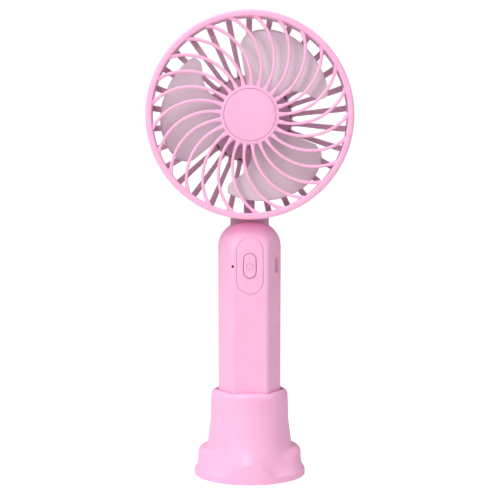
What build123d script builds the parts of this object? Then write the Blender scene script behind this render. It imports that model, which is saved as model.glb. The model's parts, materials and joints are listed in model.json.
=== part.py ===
from build123d import *
import os
from math import cos, pi, radians, sin

os.makedirs("parts", exist_ok=True)

# Battery hand fan in its desk stand, upright, front towards -Y, millimetres.
# The origin is at the centre of the stand's foot, on the table.

# ---------------------------------------------------------------- driving dimensions
AXIS_Z = 176.8              # height of the fan axis
HEAD_R = 50.1               # outside of the head's rim
GRILLE_RIM_R = 48.5         # step of the front cover that sits inside the rim
GRILLE_OPEN_R = 47.1        # inside of the front grille's rim
HEAD_FRONT_Y = -17.0
HEAD_REAR_Y = 15.0
HOUSING_WALL = 1.5
COVER_SEAM_Y = -14.4        # the front cover laps over the rim's front edge to here
HEAD_SPLIT_Y = 8.0          # joint between the rim and the rear grille
REAR_EDGE_R = 7.0           # rounding between the rim and the rear grille
REAR_FACE_THICK = 2.0

SPOKE_COUNT = 25
SPOKE_WIDTH = 1.5
SPOKE_FRONT_Y = -16.4
SPOKE_BACK_Y = -14.0
SPOKE_START = 2.7           # clock angle of the first spoke's outer end
SPOKE_MID_R = 31.7
SPOKE_MID_TURN = 18.8       # degrees a front spoke has turned at its middle
SPOKE_END_TURN = 28.0       # degrees it has turned where it meets the boss
BOSS_R = 14.1               # centre boss of the front grille
BADGE_R = 12.45
BADGE_THICK = 1.3

REAR_SPOKE_COUNT = 30
REAR_DISC_R = 22.0          # solid centre of the rear grille
REAR_SPOKE_IN = 2.0         # rear spoke width at the centre disc
REAR_SPOKE_OUT = 3.0        # rear spoke width at the rim
SLOT_FRONT_Y = -5.0         # how far the rear slots run forward along the rim
MOTOR_CUP_R = 14.0
WIRE_GATE = 5.0             # opening in the motor cup for the leads
WIRE_COVER_HALF = 2.5       # channel that hides the leads on the lowest rear spoke
WIRE_COVER_FRONT_Y = 8.6
WIRE_COVER_LOW_Z = 133.0
WIRE_ROOM_HALF = 1.8

HUB_R = 14.0
HUB_FRONT_Y = -11.8
HUB_REAR_Y = -0.2
HUB_WALL = 1.1
BLADE_COUNT = 3
BLADE_TIP_R = 44.6
BLADE_THICK = 1.2
BLADE_MID = 155.0           # clock angle of the middle of the lower blade
BLADE_HALF_DEPTH = 6.0
BLADE_MID_Y = -5.0

MOTOR_R = 12.2
MOTOR_FRONT_Y = -5.0
MOTOR_REAR_Y = 7.3
MOTOR_WALL = 0.8
SHAFT_R = 1.0
SHAFT_CLEARANCE = 0.03
BUSHING_R = 2.5
MAGNET_IN_R = 8.7
ROTOR_R = 8.2
COIL_R = 2.4
COIL_RING_R = 5.2           # distance of the coils from the shaft
POLE_COUNT = 3
TERMINAL_X = 5.0            # the motor's terminals, either side of the shaft

NECK_WIDTH = 18.9
NECK_DEPTH = 12.0
NECK_BOTTOM_Z = 116.5
NECK_CORNER_R = 2.5
NECK_FLANGE_INSET = 4.2     # the neck's flange is this much smaller than the handle
NECK_FIT = 0.15             # clearance round the neck in the handle's top

FLAT_HALF = 15.15           # half of the handle's width across flats
SIDE_HALF = 15.5            # half of the handle's width at the rounded sides
FRONT_CORNER_R = 2.5
HANDLE_WALL = 1.8
HANDLE_BOTTOM_Z = 14.0
CAP_THICK = 1.5
HANDLE_TOP_Z = 125.3        # level top of the dome
FRONT_DOME_Z = 113.4        # where the dome starts, seen from the front
FRONT_DOME_RISE = 13.3      # height of its full ellipse, cut level at the top
SIDE_DOME_Z = 114.0         # the same, seen from the side
SIDE_DOME_RISE = 12.6
ROUND_DOME_HALF = 17.3      # turned dome that softens the hexagon's corners
ROUND_DOME_Z = 110.5
ROUND_DOME_RISE = 16.0

BUTTON_Z = 104.25
PANEL_WIDTH = 12.8
PANEL_HEIGHT = 27.3
PANEL_THICK = 0.9
PANEL_PROUD = 0.1
BUTTON_WIDTH = 5.9
BUTTON_HEIGHT = 11.6
BUTTON_PROUD = 0.5
BUTTON_FLANGE = 1.2         # the button's flange stands out this far behind the wall
MOVING_GAP = 0.3
PLUNGER_FRONT_Y = -9.6      # the switch's plunger meets the button's stem here
PLUNGER_R = 1.75
SWITCH_FRONT_Y = -9.05
SWITCH_HALF = 3.0

LIGHT_X = -8.3
LIGHT_Z = 103.9
LIGHT_R = 0.65

BOARD_FRONT_Y = -6.05
BOARD_THICK = 1.0
BOARD_BOTTOM_Z = 95.2
BOARD_TOP_Z = 114.2
BOARD_LEFT_X = -10.4
BOARD_RIGHT_X = 10.8

PORT_Z = 104.4
PORT_HEIGHT = 7.5           # the socket lies with its long side upright
PORT_DEPTH_Y = 2.5
PORT_MOUTH_X = 12.3
PORT_LENGTH = 5.6

CELL_R = 9.15
CELL_BOTTOM_Z = 23.8
CELL_LENGTH = 64.4
RIB_HEIGHTS = (36.0, 76.0)

LOW_SCREW_Z = 20.0
HIGH_SCREW_Z = 92.2
SCREW_BOSS_R = 2.5
LEAD_R = 0.55

STAND_TOP_Z = 42.0
STAND_TOP_R = 19.1
STAND_LIP = 2.0             # rounding of the collar's top edge
SOCKET_ROUND_R = 17.5       # round mouth of the socket
SOCKET_ROUND_Z = 39.0
SOCKET_FLOOR_Z = 12.7
FOOT_R = 27.6
FOOT_Z = 0.15               # the shell ends just above the table
PUCK_R = 25.6               # stepped shoulder of the stand
PUCK_TOP_Z = 13.9
PUCK_EDGE = 3.2
SCOOP_INNER = 17.0          # half widths of the front part without a shoulder
SCOOP_OUTER = 27.0
NOSE_HALF = 11.75           # arched front facet of the foot
NOSE_TOP_Z = 9.4
BALLAST_R = 19.6
PLATE_R = 24.2


def node(shape, name, colour):
    """Write one named piece as its own STEP file."""
    shape.label = name
    shape.color = Color(*colour)
    export_step(shape, f"parts/{name}.step")


PINK = (0.98, 0.72, 0.86)
PALE = (0.86, 0.76, 0.80)
STEEL = (0.72, 0.72, 0.74)
DARK = (0.16, 0.15, 0.16)
COPPER = (0.80, 0.48, 0.24)
RED = (0.75, 0.10, 0.10)


# ---------------------------------------------------------------- shared shapes
def y_cylinder(radius, y_from, y_to, x=0.0, z=0.0):
    """A cylinder lying along Y between two depths."""
    disc = Plane.XZ.offset(-y_from) * Pos(x, z) * Circle(radius)
    return extrude(disc, amount=y_from - y_to)


def box_between(x, y, z):
    """A block from three (low, high) pairs."""
    size = Box(x[1] - x[0], y[1] - y[0], z[1] - z[0])
    return Pos((x[0] + x[1]) / 2, (y[0] + y[1]) / 2, (z[0] + z[1]) / 2) * size


def y_prism(sketch, y_from, y_to):
    """Extrude a front-view sketch (x, z) between two depths."""
    return extrude(Plane.XZ.offset(-y_from) * sketch, amount=y_from - y_to)


def racetrack(width, height):
    """An upright racetrack outline seen from the front."""
    return Rot(0, 0, 90) * SlotOverall(height, width)


def clock_point(radius, clock):
    """Front-view point at a clock angle, degrees clockwise from the top."""
    return (radius * sin(radians(clock)), radius * cos(radians(clock)))


def around_axis(shape, clock):
    """Turn a piece of the head clockwise about the fan axis, seen from the front."""
    return shape.rotate(Axis((0, 0, AXIS_Z), (0, 1, 0)), clock)


def head_ring(points):
    """Turn a closed (radius, depth) outline about the fan axis."""
    outline = Polyline(*points, close=True)
    turned = revolve(make_face(outline), Axis.Y)
    return Pos(0, 0, AXIS_Z) * turned


# ---------------------------------------------------------------- handle section
def handle_section(inset):
    """The handle's hexagon, flat at front and rear, rounded hard at both sides."""
    flat = FLAT_HALF - inset
    corner = flat / cos(radians(30))
    side_round = (FLAT_HALF / cos(radians(30)) - SIDE_HALF) / (1 / cos(radians(30)) - 1)
    hexagon = RegularPolygon(corner, 6)
    sides = hexagon.vertices().sort_by(Axis.X)
    hexagon = fillet([sides[0], sides[-1]], max(side_round - inset, 1.0))
    corners = [v for v in hexagon.vertices() if abs(abs(v.Y) - flat) < 0.01]
    return fillet(corners, max(FRONT_CORNER_R - inset, 0.6))


def dome_outline(half, start, rise, inset):
    """Outline of the handle with its domed top, cut off level, as (across, z)."""
    wide = 2 * half + 8
    dome = Pos(0, start) * Ellipse(half - inset, rise - inset)
    below_top = Pos(0, HANDLE_TOP_Z - inset - 60) * Rectangle(wide, 120)
    return (dome & below_top) + Pos(0, start - 60) * Rectangle(wide, 120)


def handle_body(inset, bottom):
    """The handle's solid form, drawn in by a wall thickness, from a given height up."""
    height = HANDLE_TOP_Z - inset - bottom
    prism = extrude(Plane.XY.offset(bottom) * handle_section(inset), amount=height)
    front_view = dome_outline(SIDE_HALF, FRONT_DOME_Z, FRONT_DOME_RISE, inset)
    side_view = dome_outline(FLAT_HALF, SIDE_DOME_Z, SIDE_DOME_RISE, inset)
    front_cut = y_prism(front_view, -30, 30)
    side_cut = extrude(Plane.YZ.offset(-30) * side_view, amount=60)
    round_view = dome_outline(ROUND_DOME_HALF, ROUND_DOME_Z, ROUND_DOME_RISE, inset)
    right_half = Pos(20, 80) * Rectangle(40, 160)
    dome = revolve(Plane.XZ * (round_view & right_half), Axis.Z)
    return prism & front_cut & side_cut & dome


# ---------------------------------------------------------------- stand
def stand_outline():
    """Half outline of the bell: lip, slightly flared collar, concave skirt, low foot wall."""
    lip_low = STAND_TOP_Z - STAND_LIP
    lip = CenterArc((STAND_TOP_R - STAND_LIP, lip_low), STAND_LIP, 0, 90)
    collar = Spline((STAND_TOP_R, lip_low), (19.5, 27.0), (20.9, 17.0), (22.2, 10.5),
                    (24.3, 6.0), (FOOT_R, 3.6))
    rest = Polyline((FOOT_R, 3.6), (FOOT_R, FOOT_Z), (0, FOOT_Z), (0, STAND_TOP_Z),
                    (STAND_TOP_R - STAND_LIP, STAND_TOP_Z))
    return make_face([lip, collar, rest])


def shoulder_step_outline():
    """Half outline of the stepped shoulder: round top edge, wall, slightly flared foot."""
    top = CenterArc((PUCK_R - PUCK_EDGE, PUCK_TOP_Z - PUCK_EDGE), PUCK_EDGE, 0, 90)
    wall = Spline((PUCK_R, PUCK_TOP_Z - PUCK_EDGE), (PUCK_R + 0.4, 7.0), (FOOT_R, 1.6))
    rest = Polyline((FOOT_R, 1.6), (FOOT_R, FOOT_Z), (0, FOOT_Z), (0, PUCK_TOP_Z),
                    (PUCK_R - PUCK_EDGE, PUCK_TOP_Z))
    return make_face([top, wall, rest])


def stand_shell():
    bell = revolve(Plane.XZ * stand_outline(), Axis.Z)
    puck = revolve(Plane.XZ * shoulder_step_outline(), Axis.Z)
    scoop_plan = Polyline((-SCOOP_INNER, -12), (SCOOP_INNER, -12), (SCOOP_OUTER, -30),
                          (-SCOOP_OUTER, -30), close=True)
    scoop = extrude(make_face(scoop_plan), amount=20)
    far_arch = Ellipse(NOSE_HALF + 5.0, NOSE_TOP_Z + 5.2)
    near_arch = Ellipse(NOSE_HALF, NOSE_TOP_Z - FOOT_Z)
    nose = loft([Plane.XZ.offset(19.0) * Pos(0, FOOT_Z) * far_arch,
                 Plane.XZ.offset(FOOT_R + 0.2) * Pos(0, FOOT_Z) * near_arch])
    foot = extrude(Plane.XY.offset(FOOT_Z) * Circle(FOOT_R), amount=STAND_TOP_Z)
    body = bell + (puck - scoop) + (nose & foot)
    socket = extrude(Plane.XY.offset(SOCKET_FLOOR_Z) * handle_section(-MOVING_GAP),
                     amount=40)
    mouth = extrude(Plane.XY.offset(SOCKET_ROUND_Z) * Circle(SOCKET_ROUND_R), amount=10)
    ballast_room = extrude(Plane.XY.offset(0) * Circle(BALLAST_R + 0.2), amount=10.8)
    plate_room = extrude(Plane.XY * Circle(PLATE_R + 0.2), amount=3.2)
    body = body - socket - mouth - ballast_room - plate_room
    for x, y in stand_screw_places():
        pilot = Pos(x, y, 0) * extrude(Circle(0.9), amount=9.0)
        body = body - pilot
    return body


def stand_screw_places():
    """Three bottom screws on one circle, clear of the scooped front."""
    return [(22.0 * cos(radians(a)), 22.0 * sin(radians(a))) for a in (90, 210, 330)]


def stand_bottom_plate():
    plate = extrude(Plane.XY.offset(1.2) * Circle(PLATE_R), amount=2.0)
    for x, y in stand_screw_places():
        hole = Pos(x, y, 1.0) * extrude(Circle(1.0), amount=3.0)
        sink = Pos(x, y, 1.0) * extrude(Circle(1.9), amount=1.2)
        plate = plate - hole - sink
    return plate


def stand_screws():
    """The three identical bottom screws."""
    screws = []
    for x, y in stand_screw_places():
        head = Pos(x, y, 1.3) * extrude(Circle(1.8), amount=0.9)
        shank = Pos(x, y, 2.2) * extrude(Circle(0.85), amount=6.0)
        slot = box_between((x - 1.2, x + 1.2), (y - 0.2, y + 0.2), (1.2, 1.7))
        screws.append(head + shank - slot)
    return Compound(screws)


def ballast_weight():
    disc = extrude(Plane.XY.offset(4.0) * Circle(BALLAST_R), amount=6.0)
    return chamfer(disc.edges(), 0.5)


def non_slip_pad():
    pad = extrude(Plane.XY * Circle(23.6), amount=1.2)
    return fillet(pad.edges().group_by(Axis.Z)[0], 0.4)


def socket_pad():
    pad = handle_section(0.4)
    return extrude(Plane.XY.offset(SOCKET_FLOOR_Z) * pad, amount=1.0)


# ---------------------------------------------------------------- handle
def screw_heights():
    return (LOW_SCREW_Z, HIGH_SCREW_Z)


def board_screw_places():
    return ((-7.4, 98.2), (7.4, 111.4))


def hollow_handle():
    """Both halves of the handle as one thick-walled tube, before they are parted."""
    low = HANDLE_BOTTOM_Z + CAP_THICK
    body = handle_body(0, low) - handle_body(HANDLE_WALL, low - 1.0)
    half_x = NECK_WIDTH / 2 + NECK_FIT
    half_y = NECK_DEPTH / 2 + NECK_FIT
    neck_hole = box_between((-half_x, half_x), (-half_y, half_y), (110, 130))
    return body - neck_hole


def cell_rib(z):
    """A rib across the handle that hugs the battery and leaves the sides free."""
    plate = extrude(Plane.XY.offset(z) * handle_section(HANDLE_WALL - 0.2), amount=1.5)
    middle = box_between((-9.0, 9.0), (-20, 20), (z - 1, z + 3))
    bore = extrude(Plane.XY.offset(z - 1) * Circle(CELL_R + 0.15), amount=4)
    return (plate & middle) - bore


def front_half():
    return box_between((-30, 30), (-30, 0), (-10, 140))


def rear_half():
    return box_between((-30, 30), (0, 30), (-10, 140))


def port_opening():
    """Opening in the right front facet for the mouth of the charging socket."""
    middle_y = BOARD_FRONT_Y - PORT_DEPTH_Y / 2
    slot = Plane.YZ.offset(9.0) * Pos(middle_y, PORT_Z) * RectangleRounded(
        PORT_DEPTH_Y + 0.4, PORT_HEIGHT + 0.4, 1.2)
    return extrude(slot, amount=10)


def handle_front_shell():
    shell = hollow_handle() + cell_rib(RIB_HEIGHTS[0]) + cell_rib(RIB_HEIGHTS[1])
    shell = shell & front_half()
    inner = -FLAT_HALF + HANDLE_WALL - 0.5
    for z in screw_heights():
        shell = shell + y_cylinder(SCREW_BOSS_R, inner, 0, 0, z)
    for x, z in board_screw_places():
        shell = shell + y_cylinder(1.8, inner, BOARD_FRONT_Y, x, z)
    for z in screw_heights():
        shell = shell - y_cylinder(1.0, -11.5, 1, 0, z)
    for x, z in board_screw_places():
        shell = shell - y_cylinder(0.8, -11.5, 0, x, z)
    recess = racetrack(PANEL_WIDTH + 0.2, PANEL_HEIGHT + 0.2)
    floor = -FLAT_HALF - PANEL_PROUD + PANEL_THICK
    shell = shell - y_prism(Pos(0, BUTTON_Z) * recess, -20, floor)
    hole = racetrack(BUTTON_WIDTH + 2 * MOVING_GAP, BUTTON_HEIGHT + 2 * MOVING_GAP)
    shell = shell - y_prism(Pos(0, BUTTON_Z) * hole, -20, -10)
    shell = shell - y_cylinder(LIGHT_R, -20, -10, LIGHT_X, LIGHT_Z)
    return shell - port_opening()


def handle_rear_shell():
    shell = hollow_handle() + cell_rib(RIB_HEIGHTS[0]) + cell_rib(RIB_HEIGHTS[1])
    shell = shell & rear_half()
    inner = FLAT_HALF - HANDLE_WALL + 0.5
    for z in screw_heights():
        shell = shell + y_cylinder(SCREW_BOSS_R, 0, inner, 0, z)
    for z in screw_heights():
        shell = shell - y_cylinder(1.1, -1, 20, 0, z)
        shell = shell - y_cylinder(2.0, 6.0, 20, 0, z)
    return shell


def cross_screw(radius, length, head_r, head_t, x, z, seat_y):
    """A pan-head screw driven forwards, its head seated at a given depth."""
    head = y_cylinder(head_r, seat_y, seat_y + head_t, x, z)
    shank = y_cylinder(radius, seat_y - length, seat_y, x, z)
    arm = head_r * 0.65
    rear = seat_y + head_t
    across = box_between((x - arm, x + arm), (rear - 0.5, rear + 1), (z - 0.2, z + 0.2))
    upright = box_between((x - 0.2, x + 0.2), (rear - 0.5, rear + 1), (z - arm, z + arm))
    return head + shank - across - upright


def shell_screws():
    return Compound([cross_screw(0.95, 16.0, 1.8, 1.4, 0, z, 6.0) for z in screw_heights()])


def board_screws():
    seat = BOARD_FRONT_Y + BOARD_THICK
    return Compound([cross_screw(0.75, 5.5, 1.5, 1.0, x, z, seat)
                     for x, z in board_screw_places()])


def handle_bottom_cap():
    plate = extrude(Plane.XY.offset(HANDLE_BOTTOM_Z) * handle_section(0), amount=CAP_THICK)
    plate = chamfer(plate.edges().group_by(Axis.Z)[0], 0.4)
    plug_base = HANDLE_BOTTOM_Z + CAP_THICK
    plug = extrude(Plane.XY.offset(plug_base) * handle_section(HANDLE_WALL + 0.1), amount=1.5)
    return plate + plug


def button_panel():
    front = -FLAT_HALF - PANEL_PROUD
    panel = y_prism(Pos(0, BUTTON_Z) * racetrack(PANEL_WIDTH, PANEL_HEIGHT),
                    front, front + PANEL_THICK)
    rim = panel.edges().group_by(Axis.Y)[0]
    panel = chamfer(rim, 0.2)
    hole = racetrack(BUTTON_WIDTH + 2 * MOVING_GAP, BUTTON_HEIGHT + 2 * MOVING_GAP)
    return panel - y_prism(Pos(0, BUTTON_Z) * hole, front - 1, front + 2)


def power_button():
    front = -FLAT_HALF - PANEL_PROUD - BUTTON_PROUD
    flange_front = -FLAT_HALF + HANDLE_WALL + MOVING_GAP
    cap = y_prism(Pos(0, BUTTON_Z) * racetrack(BUTTON_WIDTH, BUTTON_HEIGHT),
                  front, flange_front)
    cap = fillet(cap.edges().group_by(Axis.Y)[0], 0.35)
    wide = racetrack(BUTTON_WIDTH + 2 * BUTTON_FLANGE, BUTTON_HEIGHT + 2 * BUTTON_FLANGE)
    flange = y_prism(Pos(0, BUTTON_Z) * wide, flange_front, flange_front + 1.0)
    stem = y_cylinder(1.5, flange_front + 1.0, PLUNGER_FRONT_Y, 0, BUTTON_Z)
    return cap + flange + stem + power_symbol(front)


def power_symbol(front):
    """A raised open ring with an upright bar, the common on and off sign."""
    ring = Circle(1.75) - Circle(1.4)
    gap = Pos(0, 1.5) * Rectangle(1.3, 1.8)
    bar = Pos(0, 1.1) * Rectangle(0.35, 1.7)
    sign = Pos(0, BUTTON_Z - 0.3) * (ring - gap + bar)
    return y_prism(sign, front - 0.2, front + 0.3)


def tact_plunger():
    return y_cylinder(PLUNGER_R, PLUNGER_FRONT_Y, SWITCH_FRONT_Y + 0.7, 0, BUTTON_Z)


def tact_switch():
    body = box_between((-SWITCH_HALF, SWITCH_HALF), (SWITCH_FRONT_Y, BOARD_FRONT_Y),
                       (BUTTON_Z - SWITCH_HALF, BUTTON_Z + SWITCH_HALF))
    well = y_cylinder(PLUNGER_R + MOVING_GAP, SWITCH_FRONT_Y - 1, SWITCH_FRONT_Y + 1.6,
                      0, BUTTON_Z)
    return body - well


def light_pipe():
    rod = y_cylinder(LIGHT_R, -14.75, -7.0, LIGHT_X, LIGHT_Z)
    collar = y_cylinder(LIGHT_R + 0.4, -9.8, -9.0, LIGHT_X, LIGHT_Z)
    return rod + collar


def light_chip():
    return box_between((LIGHT_X - 0.8, LIGHT_X + 0.8), (-6.75, BOARD_FRONT_Y),
                       (LIGHT_Z - 0.5, LIGHT_Z + 0.5))


def circuit_board():
    board = box_between((BOARD_LEFT_X, BOARD_RIGHT_X),
                        (BOARD_FRONT_Y, BOARD_FRONT_Y + BOARD_THICK),
                        (BOARD_BOTTOM_Z, BOARD_TOP_Z))
    board = fillet(board.edges().filter_by(Axis.Y), 0.8)
    for x, z in board_screw_places():
        board = board - y_cylinder(0.9, -10, 0, x, z)
    return board


def control_chip():
    rear = BOARD_FRONT_Y + BOARD_THICK
    body = box_between((-2.5, 2.5), (rear, rear + 1.5), (104.5, 109.5))
    pins = []
    for side in (-1, 1):
        for step in range(4):
            z = 105.1 + 1.27 * step
            x = side * 3.0
            pins.append(box_between((x - 0.5, x + 0.5), (rear, rear + 0.4), (z, z + 0.4)))
    return body + pins


def usb_socket_shell():
    """The metal shell of the charging socket, open towards the right."""
    middle_y = BOARD_FRONT_Y - PORT_DEPTH_Y / 2
    start = PORT_MOUTH_X - PORT_LENGTH
    outer = Plane.YZ.offset(start) * Pos(middle_y, PORT_Z) * RectangleRounded(
        PORT_DEPTH_Y, PORT_HEIGHT, 0.8)
    inner = Plane.YZ.offset(start + 0.3) * Pos(middle_y, PORT_Z) * RectangleRounded(
        PORT_DEPTH_Y - 0.6, PORT_HEIGHT - 0.6, 0.5)
    return extrude(outer, amount=PORT_LENGTH) - extrude(inner, amount=PORT_LENGTH)


def usb_tongue():
    middle_y = BOARD_FRONT_Y - PORT_DEPTH_Y / 2
    start = PORT_MOUTH_X - PORT_LENGTH + 0.3
    back = box_between((start, start + 1.2), (middle_y - 0.9, middle_y + 0.9),
                       (PORT_Z - 3.0, PORT_Z + 3.0))
    blade = box_between((start + 1.2, PORT_MOUTH_X - 0.6), (middle_y - 0.3, middle_y + 0.3),
                        (PORT_Z - 2.0, PORT_Z + 2.0))
    return back + blade


# ---------------------------------------------------------------- battery and leads
def battery_cell():
    can = Pos(0, 0, CELL_BOTTOM_Z) * extrude(Circle(CELL_R), amount=CELL_LENGTH)
    can = fillet(can.edges(), 0.6)
    groove = Pos(0, 0, CELL_BOTTOM_Z + CELL_LENGTH - 3.5) * Torus(CELL_R + 0.2, 0.6)
    return can - groove


def battery_tabs():
    """Welded nickel strips, one at each end of the cell."""
    top = CELL_BOTTOM_Z + CELL_LENGTH
    upper = box_between((-3, 4.5), (-4, 4), (top, top + 0.2))
    lower = box_between((-3, 9), (-3, 3), (CELL_BOTTOM_Z - 0.2, CELL_BOTTOM_Z))
    return Compound([upper, lower])


def foam_pads():
    """Soft rings that hold the cell endways between the screw bosses."""
    top = CELL_BOTTOM_Z + CELL_LENGTH + 0.2
    upper = Pos(0, 0, top) * extrude(Circle(7.0) - Circle(5.0), amount=1.2)
    lower = Pos(0, 0, CELL_BOTTOM_Z - 1.2) * extrude(Circle(7.0), amount=1.0)
    return Compound([upper, lower])


def lead(points, bend):
    """A round insulated wire along a rounded path."""
    path = FilletPolyline(*points, radius=bend)
    start = Plane(origin=path @ 0, z_dir=path % 0)
    return sweep(start * Circle(LEAD_R), path=path)


def battery_lead_red():
    top = CELL_BOTTOM_Z + CELL_LENGTH + 0.2
    board = BOARD_FRONT_Y + BOARD_THICK
    return lead([(3.8, 1.5, top), (3.8, 1.5, 97.0), (3.8, board, 97.0)], 1.2)


def battery_lead_black():
    low = CELL_BOTTOM_Z - 0.2 - LEAD_R
    board = BOARD_FRONT_Y + BOARD_THICK
    return lead([(7.4, 2.0, low), (11.2, 2.0, low), (11.2, 2.0, 90.0),
                 (6.6, 2.0, 97.0), (6.6, board, 97.0)], 1.2)


def motor_lead(side):
    """From a motor terminal down a rear spoke, through the neck to the board."""
    x = 1.1 * side
    board = BOARD_FRONT_Y + BOARD_THICK
    top = TERMINAL_X * side
    return lead([(top, 9.6, AXIS_Z - 1.0), (top, 9.6, AXIS_Z - 8.6),
                 (x, 10.0, AXIS_Z - 10.6), (x, 10.0, 131.0), (x, 3.6, 129.4),
                 (x, 3.6, 112.0), (x, board, 112.0)], 1.0)


# ---------------------------------------------------------------- head
def rear_slot():
    """One gap of the rear grille, cut through the rear face and on along the rim."""
    step = 2 * pi / REAR_SPOKE_COUNT
    far = HEAD_R + 6
    half_in = (REAR_DISC_R * step - REAR_SPOKE_IN) / 2
    half_out = (far * step - REAR_SPOKE_OUT) / 2
    outline = Polyline((-half_in, REAR_DISC_R), (half_in, REAR_DISC_R), (half_out, far),
                       (-half_out, far), close=True)
    sketch = make_face(outline)
    inner = sketch.vertices().group_by(Axis.Y)[0]
    sketch = fillet(inner, half_in * 0.9)
    slot = y_prism(Pos(0, AXIS_Z) * sketch, SLOT_FRONT_Y, 30)
    return around_axis(slot, 180 / REAR_SPOKE_COUNT)


def basket():
    """The head's outer wall and rear face in one, with all slots cut."""
    outside = head_ring([(0, HEAD_REAR_Y), (HEAD_R, HEAD_REAR_Y),
                         (HEAD_R, COVER_SEAM_Y), (0, COVER_SEAM_Y)])
    outside = fillet(outside.edges().group_by(Axis.Y)[-1], REAR_EDGE_R)
    inner_r = HEAD_R - HOUSING_WALL
    inner_y = HEAD_REAR_Y - REAR_FACE_THICK
    inside = head_ring([(0, inner_y), (inner_r, inner_y), (inner_r, -20), (0, -20)])
    inside = fillet(inside.edges().group_by(Axis.Y)[-1], REAR_EDGE_R - HOUSING_WALL)
    slot = rear_slot()
    step = 360 / REAR_SPOKE_COUNT
    return (outside - inside) - [around_axis(slot, step * i) for i in range(REAR_SPOKE_COUNT)]


def wire_passage(bottom):
    """Room for the two motor leads through the rim and the neck."""
    return box_between((-4, 4), (1.2, 5.2), (bottom, AXIS_Z - HEAD_R + 5))


def head_rim():
    """Rim band with the open rear slots, and the neck that the handle closes around."""
    band = basket() & box_between((-60, 60), (-30, HEAD_SPLIT_Y), (100, 250))
    neck = box_between((-NECK_WIDTH / 2, NECK_WIDTH / 2), (-NECK_DEPTH / 2, NECK_DEPTH / 2),
                       (NECK_BOTTOM_Z, AXIS_Z - HEAD_R + 3))
    neck = fillet(neck.edges().filter_by(Axis.Z), NECK_CORNER_R)
    flange = extrude(Plane.XY.offset(NECK_BOTTOM_Z) * handle_section(NECK_FLANGE_INSET),
                     amount=2.0)
    opening = y_cylinder(HEAD_R - HOUSING_WALL, -25, 25, 0, AXIS_Z)
    passage = wire_passage(NECK_BOTTOM_Z - 1)
    return (band - passage) + (neck + flange - opening - passage)


def wire_cover():
    """Channel in front of the lowest rear spoke that hides the motor leads."""
    low = WIRE_COVER_LOW_Z
    high = AXIS_Z - MOTOR_CUP_R - 0.3
    block = box_between((-WIRE_COVER_HALF, WIRE_COVER_HALF),
                        (WIRE_COVER_FRONT_Y, HEAD_REAR_Y - 1.0), (low, high))
    block = fillet(block.edges().filter_by(Axis.Z).group_by(Axis.Y)[0], 0.4)
    room = box_between((-WIRE_ROOM_HALF, WIRE_ROOM_HALF),
                       (WIRE_COVER_FRONT_Y + 0.7, HEAD_REAR_Y - REAR_FACE_THICK),
                       (low - 1, high + 1))
    return block - room


def rear_grille():
    """Slotted rear face with its rounded corner, solid centre disc and wire channel."""
    face = basket() & box_between((-60, 60), (HEAD_SPLIT_Y, 30), (100, 250))
    return face + wire_cover()


def motor_cup():
    """Ring behind the fan that holds the motor, with a gate for its leads."""
    rear = HEAD_REAR_Y - REAR_FACE_THICK
    seat = MOTOR_REAR_Y + 0.25
    cup = head_ring([(10.8, rear), (MOTOR_CUP_R, rear), (MOTOR_CUP_R, 0.4),
                     (MOTOR_R + 0.05, 0.4), (MOTOR_R + 0.05, seat), (10.8, seat)])
    gate = box_between((-WIRE_GATE / 2, WIRE_GATE / 2), (8.4, 12.4),
                       (AXIS_Z - 16, AXIS_Z - 8))
    return cup - gate


def front_spoke():
    """One curved rib of the front grille, bounded by two arcs, leading to the boss."""
    outer = clock_point(GRILLE_OPEN_R + 0.6, SPOKE_START)
    middle = clock_point(SPOKE_MID_R, SPOKE_START + SPOKE_MID_TURN)
    inner = clock_point(BOSS_R - 0.6, SPOKE_START + SPOKE_END_TURN)
    path = ThreePointArc(outer, middle, inner)
    rib = make_face(offset_ribbon(path, SPOKE_WIDTH / 2))
    return y_prism(Pos(0, AXIS_Z) * rib, SPOKE_FRONT_Y, SPOKE_BACK_Y)


def offset_ribbon(path, half):
    """Closed outline at equal distances to both sides of an arc."""
    ends = []
    for side in (-1, 1):
        points = []
        for t in (0, 0.5, 1):
            along = path % t
            across = Vector(-along.Y, along.X)
            points.append((path @ t) + across * (half * side))
        ends.append(points)
    near, far = ends
    return [ThreePointArc(*near), Line(near[2], far[2]), ThreePointArc(*far),
            Line(far[0], near[0])]


def front_grille():
    """Curved ribs between the boss and a ring that laps over the rim's front edge."""
    lap = COVER_SEAM_Y - 0.1
    rim = head_ring([(GRILLE_OPEN_R, HEAD_FRONT_Y), (HEAD_R, HEAD_FRONT_Y), (HEAD_R, lap),
                     (GRILLE_RIM_R, lap), (GRILLE_RIM_R, -12.4), (GRILLE_OPEN_R, -12.4)])
    outer_edge = rim.edges().group_by(Axis.Y)[0].sort_by(SortBy.RADIUS)[-1]
    rim = fillet(outer_edge, 1.2)
    inner_edge = rim.edges().group_by(Axis.Y)[0].sort_by(SortBy.RADIUS)[0]
    rim = fillet(inner_edge, 0.5)
    boss = y_cylinder(BOSS_R, SPOKE_FRONT_Y - 0.2, SPOKE_BACK_Y + 0.6, 0, AXIS_Z)
    front = boss.edges().group_by(Axis.Y)[0]
    boss = fillet(front, 0.4)
    spoke = front_spoke()
    step = 360 / SPOKE_COUNT
    spokes = [around_axis(spoke, step * i) for i in range(SPOKE_COUNT)]
    seat = y_cylinder(BADGE_R + 0.15, -20, SPOKE_FRONT_Y - 0.2 + BADGE_THICK - 0.2,
                      0, AXIS_Z)
    return (rim + boss + spokes) - seat


def center_badge():
    front = SPOKE_FRONT_Y - 0.4
    disc = y_cylinder(BADGE_R, front, front + BADGE_THICK, 0, AXIS_Z)
    return fillet(disc.edges().group_by(Axis.Y)[0], 0.4)


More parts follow.
